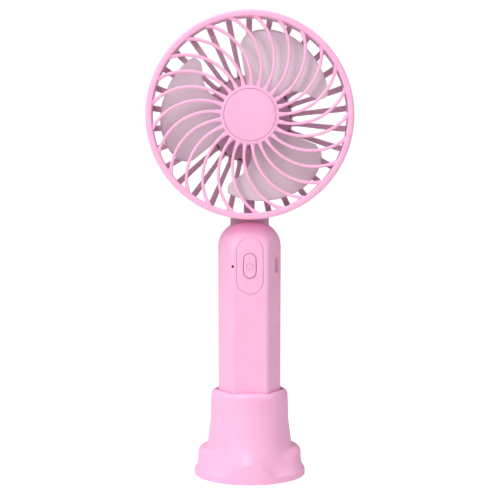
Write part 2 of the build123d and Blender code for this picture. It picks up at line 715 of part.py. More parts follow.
# ---------------------------------------------------------------- motor
def motor_can():
    cup = y_cylinder(MOTOR_R, MOTOR_FRONT_Y, MOTOR_REAR_Y, 0, AXIS_Z)
    room = y_cylinder(MOTOR_R - MOTOR_WALL, MOTOR_FRONT_Y + MOTOR_WALL, MOTOR_REAR_Y + 1,
                      0, AXIS_Z)
    nose = y_cylinder(3.3, MOTOR_FRONT_Y - 1.3, MOTOR_FRONT_Y + 0.2, 0, AXIS_Z)
    bore = y_cylinder(BUSHING_R, -10, 0, 0, AXIS_Z)
    return (cup - room) + nose - bore


def motor_end_cap():
    disc = y_cylinder(MOTOR_R - MOTOR_WALL, MOTOR_REAR_Y - 1.5, MOTOR_REAR_Y + 0.2, 0, AXIS_Z)
    nose = y_cylinder(3.5, MOTOR_REAR_Y, MOTOR_REAR_Y + 1.2, 0, AXIS_Z)
    bore = y_cylinder(BUSHING_R, 0, 12, 0, AXIS_Z)
    cap = disc + nose - bore
    for side in (-1, 1):
        cap = cap - terminal(side)
    return cap


def terminal(side):
    x = TERMINAL_X * side
    return box_between((x - 0.8, x + 0.8), (MOTOR_REAR_Y - 1.0, MOTOR_REAR_Y + 1.7),
                       (AXIS_Z - 0.25, AXIS_Z + 0.25))


def motor_terminals():
    return Compound([terminal(-1), terminal(1)])


def motor_bushings():
    """Oiled bronze sleeves at both ends of the motor."""
    bore_r = SHAFT_R + SHAFT_CLEARANCE
    ends = ((MOTOR_FRONT_Y - 1.2, MOTOR_FRONT_Y + 1.0), (MOTOR_REAR_Y - 1.2, MOTOR_REAR_Y + 1.0))
    sleeves = []
    for start, end in ends:
        sleeve = y_cylinder(BUSHING_R, start, end, 0, AXIS_Z)
        sleeves.append(sleeve - y_cylinder(bore_r, start - 1, end + 1, 0, AXIS_Z))
    return Compound(sleeves)


def motor_magnets():
    """Two curved magnets lining the motor can."""
    outer = MOTOR_R - MOTOR_WALL - 0.05
    ring = head_ring([(MAGNET_IN_R, -3.4), (outer, -3.4), (outer, 4.2), (MAGNET_IN_R, 4.2)])
    gap = box_between((-3.0, 3.0), (-10, 10), (AXIS_Z - 20, AXIS_Z + 20))
    pieces = (ring - gap).solids()
    return Compound(list(pieces))


def motor_shaft():
    return y_cylinder(SHAFT_R, HUB_FRONT_Y + HUB_WALL + 0.6, MOTOR_REAR_Y + 0.9, 0, AXIS_Z)


def rotor_core():
    """Three broad poles on the shaft, with slots for the windings."""
    core = y_cylinder(ROTOR_R, -2.4, 3.2, 0, AXIS_Z)
    for i in range(POLE_COUNT):
        slot = box_between((-0.7, 0.7), (-3, 4), (AXIS_Z + 6.2, AXIS_Z + 10))
        room = y_cylinder(COIL_R + 0.2, -3, 4, 0, AXIS_Z + COIL_RING_R)
        core = core - around_axis(slot + room, 360 / POLE_COUNT * i)
    return core - y_cylinder(SHAFT_R, -5, 5, 0, AXIS_Z)


def rotor_windings():
    """Copper packed into the slots between the poles."""
    coils = []
    for i in range(POLE_COUNT):
        coil = y_cylinder(COIL_R, -3.0, 3.8, 0, AXIS_Z + COIL_RING_R)
        coils.append(around_axis(coil, 360 / POLE_COUNT * i))
    return Compound(coils)


def commutator():
    drum = y_cylinder(2.4, 3.9, 5.6, 0, AXIS_Z)
    step = 360 / POLE_COUNT
    for i in range(POLE_COUNT):
        cut = box_between((-0.15, 0.15), (3.5, 6.0), (AXIS_Z + 1.8, AXIS_Z + 3))
        drum = drum - around_axis(cut, step * (i + 0.5))
    return drum - y_cylinder(SHAFT_R, 3, 7, 0, AXIS_Z)


# ---------------------------------------------------------------- impeller
def blade_outline():
    """Front view of the lower blade: straight leading edge, round tip, hooked corner."""
    lead_foot = clock_point(HUB_R - 1.0, BLADE_MID - 38)
    lead_edge = clock_point(33.5, BLADE_MID - 38)
    shoulder = clock_point(39.8, BLADE_MID - 34)
    tip = [clock_point(43.4, BLADE_MID - 26), clock_point(BLADE_TIP_R, BLADE_MID - 13),
           clock_point(43.9, BLADE_MID + 8), clock_point(41.5, BLADE_MID + 28)]
    corner = clock_point(38.8, BLADE_MID + 41)
    hook = [clock_point(34.3, BLADE_MID + 41.5), clock_point(28.9, BLADE_MID + 34),
            clock_point(21.6, BLADE_MID + 26)]
    trail_foot = clock_point(HUB_R - 1.0, BLADE_MID + 24)
    return make_face([Line(lead_foot, lead_edge), Spline(lead_edge, shoulder, *tip, corner),
                      Spline(corner, *hook, trail_foot), Line(trail_foot, lead_foot)])


def blade_section(radius, chord_half):
    """Thin cambered section across the blade at one radius, set at its pitch."""
    depth = BLADE_HALF_DEPTH
    half = BLADE_THICK / 2
    camber = 0.12 * chord_half
    rear_left = (-chord_half, depth + half)
    rear_right = (chord_half, half - depth)
    front_left = (-chord_half, depth - half)
    front_right = (chord_half, -half - depth)
    outline = [ThreePointArc(rear_left, (0, half - camber), rear_right),
               Line(rear_right, front_right),
               ThreePointArc(front_left, (0, -half - camber), front_right),
               Line(front_left, rear_left)]
    return Plane.XY.offset(radius) * make_face(outline)


def blade():
    """A twisted sheet lofted outwards from the hub and trimmed to the blade's outline."""
    sheet = loft([blade_section(12.5, 13.0), blade_section(24.0, 22.0),
                  blade_section(36.0, 29.0), blade_section(47.0, 34.0)])
    sheet = Pos(0, BLADE_MID_Y, AXIS_Z) * sheet
    sheet = around_axis(sheet, BLADE_MID)
    return sheet & y_prism(Pos(0, AXIS_Z) * blade_outline(), -20, 15)


def impeller():
    cup = y_cylinder(HUB_R, HUB_FRONT_Y, HUB_REAR_Y, 0, AXIS_Z)
    cup = fillet(cup.edges().group_by(Axis.Y)[0], 1.2)
    room = y_cylinder(HUB_R - HUB_WALL, HUB_FRONT_Y + 1.6, HUB_REAR_Y + 1, 0, AXIS_Z)
    sleeve = y_cylinder(2.6, HUB_FRONT_Y + 1.0, MOTOR_FRONT_Y - 1.9, 0, AXIS_Z)
    bore = y_cylinder(SHAFT_R, HUB_FRONT_Y + HUB_WALL + 0.6, 0, 0, AXIS_Z)
    one = blade()
    ring = cup
    for i in range(BLADE_COUNT):
        ring = ring + around_axis(one, 360 / BLADE_COUNT * i)
    return (ring - room) + sleeve - bore


# ---------------------------------------------------------------- write the pieces
node(stand_shell(), "stand_shell", PINK)
node(socket_pad(), "socket_pad", DARK)
node(ballast_weight(), "ballast_weight", STEEL)
node(stand_bottom_plate(), "stand_bottom_plate", PINK)
node(stand_screws(), "stand_screws", STEEL)
node(non_slip_pad(), "non_slip_pad", DARK)

node(handle_front_shell(), "handle_front_shell", PINK)
node(handle_rear_shell(), "handle_rear_shell", PINK)
node(shell_screws(), "shell_screws", STEEL)
node(handle_bottom_cap(), "handle_bottom_cap", PINK)
node(button_panel(), "button_panel", PINK)
node(power_button(), "power_button", PINK)
node(tact_plunger(), "tact_plunger", DARK)
node(tact_switch(), "tact_switch", STEEL)
node(light_pipe(), "light_pipe", DARK)
node(light_chip(), "light_chip", PALE)
node(circuit_board(), "circuit_board", (0.10, 0.35, 0.20))
node(board_screws(), "board_screws", STEEL)
node(control_chip(), "control_chip", DARK)
node(usb_socket_shell(), "usb_socket_shell", STEEL)
node(usb_tongue(), "usb_tongue", DARK)

node(battery_cell(), "battery_cell", (0.25, 0.45, 0.75))
node(battery_tabs(), "battery_tabs", STEEL)
node(foam_pads(), "foam_pads", DARK)
node(battery_lead_red(), "battery_lead_red", RED)
node(battery_lead_black(), "battery_lead_black", DARK)
node(motor_lead(1), "motor_lead_red", RED)
node(motor_lead(-1), "motor_lead_black", DARK)

node(head_rim(), "head_rim", PINK)
node(rear_grille(), "rear_grille", PINK)
node(motor_cup(), "motor_cup", PINK)
node(front_grille(), "front_grille", PINK)
node(center_badge(), "center_badge", PINK)

node(motor_can(), "motor_can", STEEL)
node(motor_end_cap(), "motor_end_cap", DARK)
node(motor_terminals(), "motor_terminals", COPPER)
node(motor_bushings(), "motor_bushings", COPPER)
node(motor_magnets(), "motor_magnets", DARK)

node(impeller(), "impeller", PALE)
node(motor_shaft(), "motor_shaft", STEEL)
node(rotor_core(), "rotor_core", STEEL)
node(rotor_windings(), "rotor_windings", COPPER)
node(commutator(), "commutator", COPPER)
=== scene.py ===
import json
from math import acos, atan, cos, pi, radians, sin, sqrt, tan

import bmesh
import bpy
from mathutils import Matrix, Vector


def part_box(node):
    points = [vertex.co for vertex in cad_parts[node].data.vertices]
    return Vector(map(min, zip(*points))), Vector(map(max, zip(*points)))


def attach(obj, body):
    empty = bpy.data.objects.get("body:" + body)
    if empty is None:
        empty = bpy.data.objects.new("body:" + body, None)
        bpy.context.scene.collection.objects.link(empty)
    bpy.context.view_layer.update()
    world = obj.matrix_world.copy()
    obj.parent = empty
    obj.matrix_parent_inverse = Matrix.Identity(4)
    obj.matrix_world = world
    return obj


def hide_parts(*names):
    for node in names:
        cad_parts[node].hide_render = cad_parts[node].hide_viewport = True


# A pink battery hand fan in its desk stand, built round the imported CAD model.
# Shapes are worked out in millimetres in the CAD frame and stored in metres. X runs to
# the right, Y to the rear and Z up. Clock angles are degrees from the top, seen from the
# front; other angles are degrees from +X, seen from above.
MM = 0.001

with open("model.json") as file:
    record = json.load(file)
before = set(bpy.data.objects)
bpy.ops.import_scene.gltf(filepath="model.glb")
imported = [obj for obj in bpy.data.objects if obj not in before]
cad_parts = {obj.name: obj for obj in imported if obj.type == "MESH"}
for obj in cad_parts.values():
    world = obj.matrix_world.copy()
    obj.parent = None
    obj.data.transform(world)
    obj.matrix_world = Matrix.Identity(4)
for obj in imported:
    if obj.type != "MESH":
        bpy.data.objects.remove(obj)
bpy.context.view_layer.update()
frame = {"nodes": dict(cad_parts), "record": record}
nodes = frame["nodes"]

# ---------- driving dimensions, mm
ROUND_STEPS = 240           # points round every turned or moulded loop
CREASE = 38                 # edges sharper than this, in degrees, stay crisp
CENTRE_R = 0.4              # discs turned on the fan axis are closed by a tiny flat here
STAND_CENTRE_R = 0.5        # and so is the stand, on its own axis

# handle
FLAT_HALF = 15.15           # the handle is a hexagon, flat at front and rear
SIDE_HALF = 15.5
FRONT_CORNER_R = 2.5
HANDLE_WALL = 1.8
HANDLE_LOW = 15.5           # the halves stand on the bottom cap
HANDLE_TOP = 125.3          # level top of the dome
DOME_LOW = 107.0            # nothing draws in below this height
DOME_ROWS = 24
FRONT_DOME_Z = 113.4        # where the dome starts, seen from the front
FRONT_DOME_RISE = 13.3      # height of its full ellipse, cut level at the top
SIDE_DOME_Z = 114.0         # the same, seen from the side
SIDE_DOME_RISE = 12.6
ROUND_DOME_HALF = 17.3      # turned dome that softens the hexagon's corners
ROUND_DOME_Z = 110.5
ROUND_DOME_RISE = 16.0
SOFTNESS = 1.4              # how softly the facets run into the dome
SHELL_EDGE = 0.12           # rounding of the shells' crisp edges
SCREW_HOLE = 4.0            # width of the two holes in the rear shell
SCREW_HEAD_R = 1.8
PORT_GAP = 0.2              # round the charging socket, in its slot

# neck
NECK_HALF_X = 9.45
NECK_HALF_Y = 6.0
NECK_CORNER = 2.5
NECK_GAP = 0.15             # round the neck, in its hole in the dome
NECK_LOW = 116.5
NECK_TOP = 128.2
NECK_FLANGE_TOP = 118.5
NECK_FLANGE_INSET = 4.2     # from the handle's outside

# panel, button and status light
BUTTON_Z = 104.25           # middle of the button and its panel
PANEL_WIDTH = 12.8
PANEL_HEIGHT = 27.3
PANEL_THICK = 0.9
PANEL_FRONT_Y = -15.25
PANEL_GAP = 0.15            # round the panel, in its recess
PANEL_EDGE = 0.25
BUTTON_WIDTH = 5.9
BUTTON_HEIGHT = 11.6
BUTTON_FRONT_Y = -15.75
BUTTON_EDGE = 0.5
BUTTON_DISH = 0.12          # the cap's face sinks in by this much towards its middle
MOVING_GAP = 0.22           # round the button
FLANGE_WIDER = 1.2          # the button's flange stands out this much behind the shell
FLANGE_FRONT_Y = -13.05
FLANGE_REAR_Y = -12.05
STEM_WIDTH = 3.0
STEM_REAR_Y = -9.6
SIGN_R = 1.57               # ring of the on-off sign
SIGN_STROKE_R = 0.2
SIGN_DROP = 0.3             # its middle is this far below the button's
SIGN_BAR = (0.3, 1.95)      # lower and upper end of its bar, above its middle
LIGHT_R = 0.65              # hole over the status light

# stand
COLLAR_TOP = 42.3
COLLAR_R = 19.1
COLLAR_LIP = 3.0
COLLAR_SIDE = [(19.55, 27.0), (19.35, 32.0), (19.2, 37.0)]      # (radius, height)
MOUTH_GAP = 0.28            # the socket's hexagon stands off the handle's flats
MOUTH_CORNER_R = 0.8        # and has sharper corners than the handle at both sides
MOUTH_EDGE = 0.4            # rounding of the mouth's edge
SOCKET_FLOOR = 12.7
SKIRT_TOP_R = 19.7          # the bell's skirt starts below the collar here
SKIRT_TOP = 25.0
FOOT_R = 27.6
FOOT_Z = 0.15
PUCK_R = 25.6               # stepped shoulder at the sides and the rear
PUCK_TOP = 13.9
PUCK_EDGE = 3.2
PUCK_FLARE_Z = 9.4          # its wall flares to the foot below this height
SKIRT_ROWS = 64             # points down each profile of the skirt
PUCK_STARTS = 44            # degrees off the front where the shoulder begins to show
PUCK_FULL = 76              # and where it is fully there
ARCH_HALF = 11.75           # the arched facet at the front of the foot
ARCH_TOP = 9.4
ARCH_SOFTNESS = 2.4         # how softly the arch's ends run into the foot
HUMP_HALF = 18.0            # the skirt swells over the arch out to here
SKIRT_LOW = 3.0             # the skirt meets the foot this high beside the arch
PLATE_R = 24.4              # recess for the bottom plate, under the foot
PLATE_TOP = 3.2
BALLAST_R = 19.8            # recess for the ballast above it
BALLAST_TOP = 10.8

# head
HEAD_R = 50.1
RIM_WALL = 1.5
RIM_REAR_Y = -5.0
GRILLE_RIM_R = 48.5         # step of the front cover that sits inside the rim
GRILLE_OPEN_R = 47.1
GRILLE_FRONT_Y = -17.0
COVER_SEAM_Y = -14.4        # the front cover laps over the rim's front edge to here
COVER_REAR_Y = -12.4
SPOKES = 25
SPOKE_START = 2.7           # clock angle of the first rib's outer end
SPOKE_WIDTH = 1.45
SPOKE_DEPTH = 2.4
SPOKE_MID_Y = -15.2
SPOKE_BOW_R = 31.7          # each rib bows through this radius
SPOKE_BOW_TURN = 18.8       # this far round from its outer end
SPOKE_TURN = 28.0           # and ends at the boss this far round
BOSS_R = 14.1
BOSS_FRONT_Y = -16.6
BOSS_REAR_Y = -13.4
BADGE_R = 12.45
BADGE_SEAT_Y = -15.5
BADGE_EDGE_Y = -16.65       # front of the badge at its edge
BADGE_CROWN = 0.15          # and how much further its middle stands out
REAR_BARS = 30
REAR_BAR_WIDTH = 2.05       # a rear spoke's least width; it widens towards both ends
REAR_BAR_THICK = 1.5        # at the rim; it is thicker at the disc
REAR_BAR_Y = 14.0           # mid-depth of the rear spokes where they are flat
REAR_BAR_R = 49.35          # and their radius where they run forward to the rim
REAR_CORNER_R = 6.25
REAR_DISC_R = 22.0
REAR_DISC_FRONT_Y = 13.0
REAR_DISC_REAR_Y = 15.0
REAR_DISC_DISH_R = 14.0     # inside this radius the disc's rear face is sunk
REAR_DISC_DISH = 0.3
WIRE_COVER_LOW = 128.6      # channel over the motor leads on the lowest rear spoke
WIRE_COVER_WIDTH = 5.4
MOTOR_CLEAR_R = 14.3        # the channel stops outside the motor cup
LINING_REAR_Y = -6.4        # the rear grille's own collar lines the rim back to here

# impeller
HUB_R = 14.0
HUB_FRONT_Y = -11.8
HUB_REAR_Y = -0.2
HUB_WALL = 1.1
HUB_EDGE = 1.4              # rounding of the hub's front edge
HUB_FLOOR_Y = -10.2         # inside of the hub's front
SLEEVE_R = 2.6              # sleeve round the end of the shaft
SLEEVE_REAR_Y = -6.9
SHAFT_R = 1.0               # hole for the shaft
SHAFT_END_Y = -10.1
BLADE_THICK = 1.2
BLADE_MID = 155.0           # clock angle of the middle of the lower blade
BLADE_MID_Y = -5.0
BLADE_DEPTH = 6.0           # from the middle to the leading or the trailing edge
BLADE_CAMBER = 0.12         # rise of the camber over the blade's half width
BLADE_IN_R = 13.2           # the blades start inside the hub's wall
LEAD_CLOCK = 117.0
TRAIL_CLOCK = 178.0
WHEEL_TURN = -1.5           # the wheel rests this far round from those clock angles

# Height of the fan axis, which is the middle of the rear grille.
AXIS_Z = (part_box("rear_grille")[0].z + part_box("rear_grille")[1].z) / 2 / MM


# ---------- mesh helpers
def skin(loops, wrap=False):
    """Quads between closed loops of equal length; the ends are capped or joined."""
    count = len(loops)
    size = len(loops[0])
    points = [point for loop in loops for point in loop]
    faces = []
    for i in range(count if wrap else count - 1):
        below = i * size
        above = (i + 1) % count * size
        for k in range(size):
            m = (k + 1) % size
            faces.append([below + k, below + m, above + m, above + k])
    if not wrap:
        faces.append(list(range(size)))
        faces.append(list(range((count - 1) * size, count * size)))
    return points, faces


def piece(name, parts, body, replaced, crease=CREASE):
    """One object from several skins that rides on a body and stands for CAD nodes."""
    points = []
    faces = []
    for part_points, part_faces in parts:
        start = len(points)
        points += [Vector(p) * MM for p in part_points]
        faces += [[start + i for i in face] for face in part_faces]
    mesh = bpy.data.meshes.new(name)
    mesh.from_pydata(points, [], faces)
    obj = bpy.data.objects.new(name, mesh)
    bpy.context.scene.collection.objects.link(obj)
    shade(mesh, crease)
    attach(obj, body)
    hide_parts(*replaced)
    return obj


def shade(mesh, crease):
    """Face normals outwards, smooth shading, and crisp edges above the crease angle."""
    work = bmesh.new()
    work.from_mesh(mesh)
    bmesh.ops.remove_doubles(work, verts=work.verts, dist=0.001 * MM)
    bmesh.ops.recalc_face_normals(work, faces=work.faces)
    for face in work.faces:
        face.smooth = True
    for edge in work.edges:
        edge.smooth = edge.calc_face_angle(0) < radians(crease)
    work.to_mesh(mesh)
    work.free()


def cut(obj, *cutters):
    """Take closed skins out of an object."""
    for number, (points, faces) in enumerate(cutters):
        mesh = bpy.data.meshes.new(f"{obj.name}_cut_{number}")
        mesh.from_pydata([Vector(p) * MM for p in points], [], faces)
        shade(mesh, CREASE)
        tool = bpy.data.objects.new(mesh.name, mesh)
        bpy.context.scene.collection.objects.link(tool)
        change = obj.modifiers.new("cut", "BOOLEAN")
        change.operation = "DIFFERENCE"
        change.solver = "EXACT"
        change.object = tool
        settle(obj)
        bpy.data.objects.remove(tool)


def soften(obj, width):
    """Round every crisp edge by a small width, in millimetres."""
    bevel = obj.modifiers.new("bevel", "BEVEL")
    bevel.width = width * MM
    bevel.segments = 2
    bevel.limit_method = "ANGLE"
    bevel.angle_limit = radians(CREASE)
    bevel.use_clamp_overlap = True
    settle(obj)
    weighted = obj.modifiers.new("weighted", "WEIGHTED_NORMAL")
    weighted.keep_sharp = True


def settle(obj):
    """Apply the modifiers of an object and shade the result."""
    bpy.context.view_layer.update()
    graph = bpy.context.evaluated_depsgraph_get()
    mesh = bpy.data.meshes.new_from_object(obj.evaluated_get(graph))
    obj.modifiers.clear()
    obj.data = mesh
    shade(mesh, CREASE)


def angles():
    """The angles, in degrees, of the points of a turned or moulded loop."""
    return [360 * i / ROUND_STEPS for i in range(ROUND_STEPS)]


def turned_upright(profile):
    """Loops round the stand's upright axis from (radius, height) pairs."""
    return [[(r * cos(radians(a)), r * sin(radians(a)), z) for a in angles()]
            for r, z in profile]


def turned_on_axis(profile):
    """Loops round the fan axis from (radius, depth) pairs."""
    return [[(r * sin(radians(a)), y, AXIS_Z + r * cos(radians(a))) for a in angles()]
            for r, y in profile]


def arc(cx, cy, radius, start, end, steps=6):
    """Points of an arc between two angles, for the rounded edges of profiles."""
    turn = (end - start) / steps
    return [(cx + radius * cos(radians(start + turn * i)),
             cy + radius * sin(radians(start + turn * i))) for i in range(steps + 1)]


def about_axis(points, clock):
    """Turn points clockwise about the fan axis, seen from the front."""
    c = cos(radians(clock))
    s = sin(radians(clock))
    return [(x * c + (z - AXIS_Z) * s, y, AXIS_Z - x * s + (z - AXIS_Z) * c)
            for x, y, z in points]


def ease(value, low, high):
    """0 below low, 1 above high, and a smooth rise between."""
    t = min(max((value - low) / (high - low), 0.0), 1.0)
    return t * t * (3 - 2 * t)


def soft_min(a, b, softness):
    """The smaller of two lengths, rounded where they are nearly equal."""
    near = max(softness - abs(a - b), 0.0) / softness
    return min(a, b) - near * near * softness / 4


def between(t, pairs):
    """Value of a smooth curve through (position, value) pairs."""
    if t <= pairs[0][0]:
        return pairs[0][1]
    for i in range(len(pairs) - 1):
        (t0, v0), (t1, v1) = pairs[i], pairs[i + 1]
        if t <= t1:
            before = pairs[max(i - 1, 0)]
            after = pairs[min(i + 2, len(pairs) - 1)]
            slope0 = (v1 - before[1]) / (t1 - before[0])
            slope1 = (after[1] - v0) / (after[0] - t0)
            span = t1 - t0
            u = (t - t0) / span
            return (v0 * (1 + 2 * u) * (1 - u) ** 2 + v1 * u * u * (3 - 2 * u)
                    + slope0 * span * u * (1 - u) ** 2 - slope1 * span * u * u * (1 - u))
    return pairs[-1][1]


def along(path, count):
    """Equally spaced points along a polyline of (a, b) pairs."""
    lengths = [0.0]
    for p, q in zip(path, path[1:]):
        lengths.append(lengths[-1] + sqrt((q[0] - p[0]) ** 2 + (q[1] - p[1]) ** 2))
    points = []
    k = 0
    for i in range(count):
        target = lengths[-1] * i / (count - 1)
        while k < len(path) - 2 and lengths[k + 1] < target:
            k += 1
        u = (target - lengths[k]) / (lengths[k + 1] - lengths[k])
        points.append((path[k][0] + u * (path[k + 1][0] - path[k][0]),
                       path[k][1] + u * (path[k + 1][1] - path[k][1])))
    return points


def bezier(p0, p1, p2, p3, steps=20):
    """Points of a cubic curve from p0 to p3, pulled towards p1 and p2."""
    curve = []
    for i in range(steps + 1):
        t = i / steps
        shares = ((1 - t) ** 3, 3 * t * (1 - t) ** 2, 3 * t * t * (1 - t), t ** 3)
        curve.append(tuple(sum(share * p[k] for share, p in zip(shares, (p0, p1, p2, p3)))
                           for k in range(2)))
    return curve


# ---------- handle form
def corner_reach(angle, flat, corner):
    """From the centre line to a hexagon with rounded corners, at an angle from +X."""
    centre = (flat - corner) / cos(radians(30))
    off = radians(angle - round(angle / 60) * 60)
    flat_ends = radians(30) - atan((flat - corner) * tan(radians(30)) / flat)
    if abs(off) < flat_ends:
        return centre * cos(off) + sqrt(corner ** 2 - (centre * sin(off)) ** 2)
    return flat / cos(radians(30) - abs(off))


def hexagon_reach(angle, inset):
    """The handle's hexagon, rounded hard at both sides."""
    side_round = (FLAT_HALF / cos(radians(30)) - SIDE_HALF) / (1 / cos(radians(30)) - 1)
    at_side = round(angle / 60) * 60 % 180 == 0
    corner = side_round if at_side else FRONT_CORNER_R
    return corner_reach(angle, FLAT_HALF - inset, max(corner - inset, 0.4))


def socket_reach(angle):
    """The socket's hexagon, which leaves a small notch at both sides of the handle."""
    at_side = round(angle / 60) * 60 % 180 == 0
    corner = MOUTH_CORNER_R if at_side else FRONT_CORNER_R + MOUTH_GAP
    return corner_reach(angle, FLAT_HALF + MOUTH_GAP, corner)


def box_reach(angle, half_x, half_y, corner):
    """From the centre to a rounded rectangle, at an angle from +X."""
    across = abs(cos(radians(angle)))
    up = abs(sin(radians(angle)))
    reach = min(half_x / max(across, 1e-6), half_y / max(up, 1e-6))
    cx = half_x - corner
    cy = half_y - corner
    if reach * across > cx and reach * up > cy:
        middle = cx * across + cy * up
        reach = middle + sqrt(max(middle ** 2 - cx ** 2 - cy ** 2 + corner ** 2, 0))
    return reach


def domed(half, z, start, rise):
    """Half width of one view of the dome, widened below it so that it runs in softly."""
    t = min(max((z - start) / rise, 0.0), 1.0)
    widening = SOFTNESS * (1 - ease(z, start - 3, start + 5))
    return half * sqrt(1 - t * t) + widening


def handle_reach(angle, z):
    """Outside of the handle: the hexagon, drawn in to a soft dome at the top."""
    across = max(abs(cos(radians(angle))), 1e-6)
    up = max(abs(sin(radians(angle))), 1e-6)
    front_view = domed(SIDE_HALF, z, FRONT_DOME_Z, FRONT_DOME_RISE)
    side_view = domed(FLAT_HALF, z, SIDE_DOME_Z, SIDE_DOME_RISE)
    turned = domed(ROUND_DOME_HALF, z, ROUND_DOME_Z, ROUND_DOME_RISE)
    reach = soft_min(hexagon_reach(angle, 0), front_view / across, SOFTNESS)
    reach = soft_min(reach, side_view / up, SOFTNESS)
    return soft_min(reach, turned, SOFTNESS)


def inner_reach(angle, z):
    """Inside of the handle's wall."""
    return handle_reach(angle, z + HANDLE_WALL) - HANDLE_WALL


def neck_hole(angle):
    """Outline of the hole in the dome that the neck goes through."""
    return box_reach(angle, NECK_HALF_X + NECK_GAP, NECK_HALF_Y + NECK_GAP, NECK_CORNER)


def polar_loop(reach, z):
    """A level loop whose distance from the centre line is a function of the angle."""
    return [(reach(a) * cos(radians(a)), reach(a) * sin(radians(a)), z) for a in angles()]


def meeting_height(reach, angle, top):
    """Height where the dome has come in as far as the neck's hole, at most the top."""
    low = DOME_LOW
    high = top
    if reach(angle, high) >= neck_hole(angle):
        return high
    for _ in range(30):
        middle = (low + high) / 2
        if reach(angle, middle) > neck_hole(angle):
            low = middle
        else:
            high = middle
    return low


def dome_loop(reach, tops, share):
    """A loop part of the way from the foot of the dome to its own top at each angle."""
    loop = []
    for a, top in zip(angles(), tops):
        z = DOME_LOW + (top - DOME_LOW) * share
        loop.append((reach(a, z) * cos(radians(a)), reach(a, z) * sin(radians(a)), z))
    return loop


def handle_tube():
    """Both halves of the handle as one hollow wall with a hole for the neck."""
    outer_tops = [meeting_height(handle_reach, a, HANDLE_TOP) for a in angles()]
    inner_tops = [meeting_height(inner_reach, a, HANDLE_TOP - HANDLE_WALL) for a in angles()]
    loops = [polar_loop(lambda a: handle_reach(a, z), z)
             for z in (HANDLE_LOW, 60.0, 100.0)]
    for i in range(DOME_ROWS + 1):
        loops.append(dome_loop(handle_reach, outer_tops, sin(radians(90 * i / DOME_ROWS))))
    for tops in (outer_tops, inner_tops):
        loops.append([(neck_hole(a) * cos(radians(a)), neck_hole(a) * sin(radians(a)), z)
                      for a, z in zip(angles(), tops)])
    for share in (1.0, 0.95, 0.8, 0.5, 0.0):
        loops.append(dome_loop(inner_reach, inner_tops, share))
    loops.append(polar_loop(lambda a: inner_reach(a, HANDLE_LOW), HANDLE_LOW))
    return skin(loops, wrap=True)


def racetrack_loop(width, height, y, inset=0.0, x=0.0, z=BUTTON_Z):
    """An upright racetrack outline at a depth."""
    r = width / 2 - inset
    lift = (height - width) / 2
    loop = []
    for i in range(72):
        a = radians(5 * i + 2.5)
        rise = lift if sin(a) > 0 else -lift
        loop.append((x + r * cos(a), y, z + rise + r * sin(a)))
    return loop


def racetrack_prism(width, height, y_from, y_to, x=0.0, z=BUTTON_Z):
    """A straight bar of racetrack section along Y."""
    return skin([racetrack_loop(width, height, y, 0.0, x, z) for y in (y_from, y_to)])


def port_cutter():
    """Rounded slot through the right front facet, in line with the charging socket."""
    low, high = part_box("usb_socket_shell")
    mid_y = (low.y + high.y) / 2 / MM
    mid_z = (low.z + high.z) / 2 / MM
    half_y = (high.y - low.y) / 2 / MM + PORT_GAP
    lift = (high.z - low.z) / 2 / MM + PORT_GAP - half_y
    loops = []
    for x in (9.0, 20.0):
        loop = []
        for i in range(48):
            a = radians(7.5 * i + 3.75)
            rise = lift if sin(a) > 0 else -lift
            loop.append((x, mid_y + half_y * cos(a), mid_z + rise + half_y * sin(a)))
        loops.append(loop)
    return skin(loops)


def keep_half(obj, side):
    """Part a closed wall on the handle's joint plane and close the cut; side is -1 or 1."""
    work = bmesh.new()
    work.from_mesh(obj.data)
    everything = work.verts[:] + work.edges[:] + work.faces[:]
    bmesh.ops.bisect_plane(work, geom=everything, plane_co=(0, 0, 0),
                           plane_no=(0, -side, 0), clear_outer=True)
    rim = [edge for edge in work.edges if edge.is_boundary]
    bmesh.ops.holes_fill(work, edges=rim, sides=0)
    work.to_mesh(obj.data)
    work.free()
    shade(obj.data, CREASE)


def handle_front():
    """Front shell, with the recess and holes for panel, button, light and charging slot."""
    shell = piece("handle_front", [handle_tube()], "fan",
                  ["handle_front_shell"])
    before = -20.0
    behind = -10.0
    lens_low, lens_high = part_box("light_pipe")
    lens_x = (lens_low.x + lens_high.x) / 2 / MM
    lens_z = (lens_low.z + lens_high.z) / 2 / MM
    recess = racetrack_prism(PANEL_WIDTH + 2 * PANEL_GAP, PANEL_HEIGHT + 2 * PANEL_GAP,
                             before, PANEL_FRONT_Y + PANEL_THICK)
    button_hole = racetrack_prism(BUTTON_WIDTH + 2 * MOVING_GAP,
                                  BUTTON_HEIGHT + 2 * MOVING_GAP, before, behind)
    light_hole = racetrack_prism(2 * LIGHT_R, 2 * LIGHT_R, before, behind, lens_x, lens_z)
    keep_half(shell, -1)
    cut(shell, recess, button_hole, light_hole, port_cutter())
    soften(shell, SHELL_EDGE)
    return shell


def handle_rear():
    """Rear shell, with the holes over the two shell screws."""
    shell = piece("handle_rear", [handle_tube()], "fan",
                  ["handle_rear_shell"])
    low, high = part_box("shell_screws")
    holes = [racetrack_prism(SCREW_HOLE, SCREW_HOLE, 6.0, 20.0, 0.0, z)
             for z in (low.z / MM + SCREW_HEAD_R, high.z / MM - SCREW_HEAD_R)]
    keep_half(shell, 1)
    cut(shell, *holes)
    soften(shell, SHELL_EDGE)
    return shell


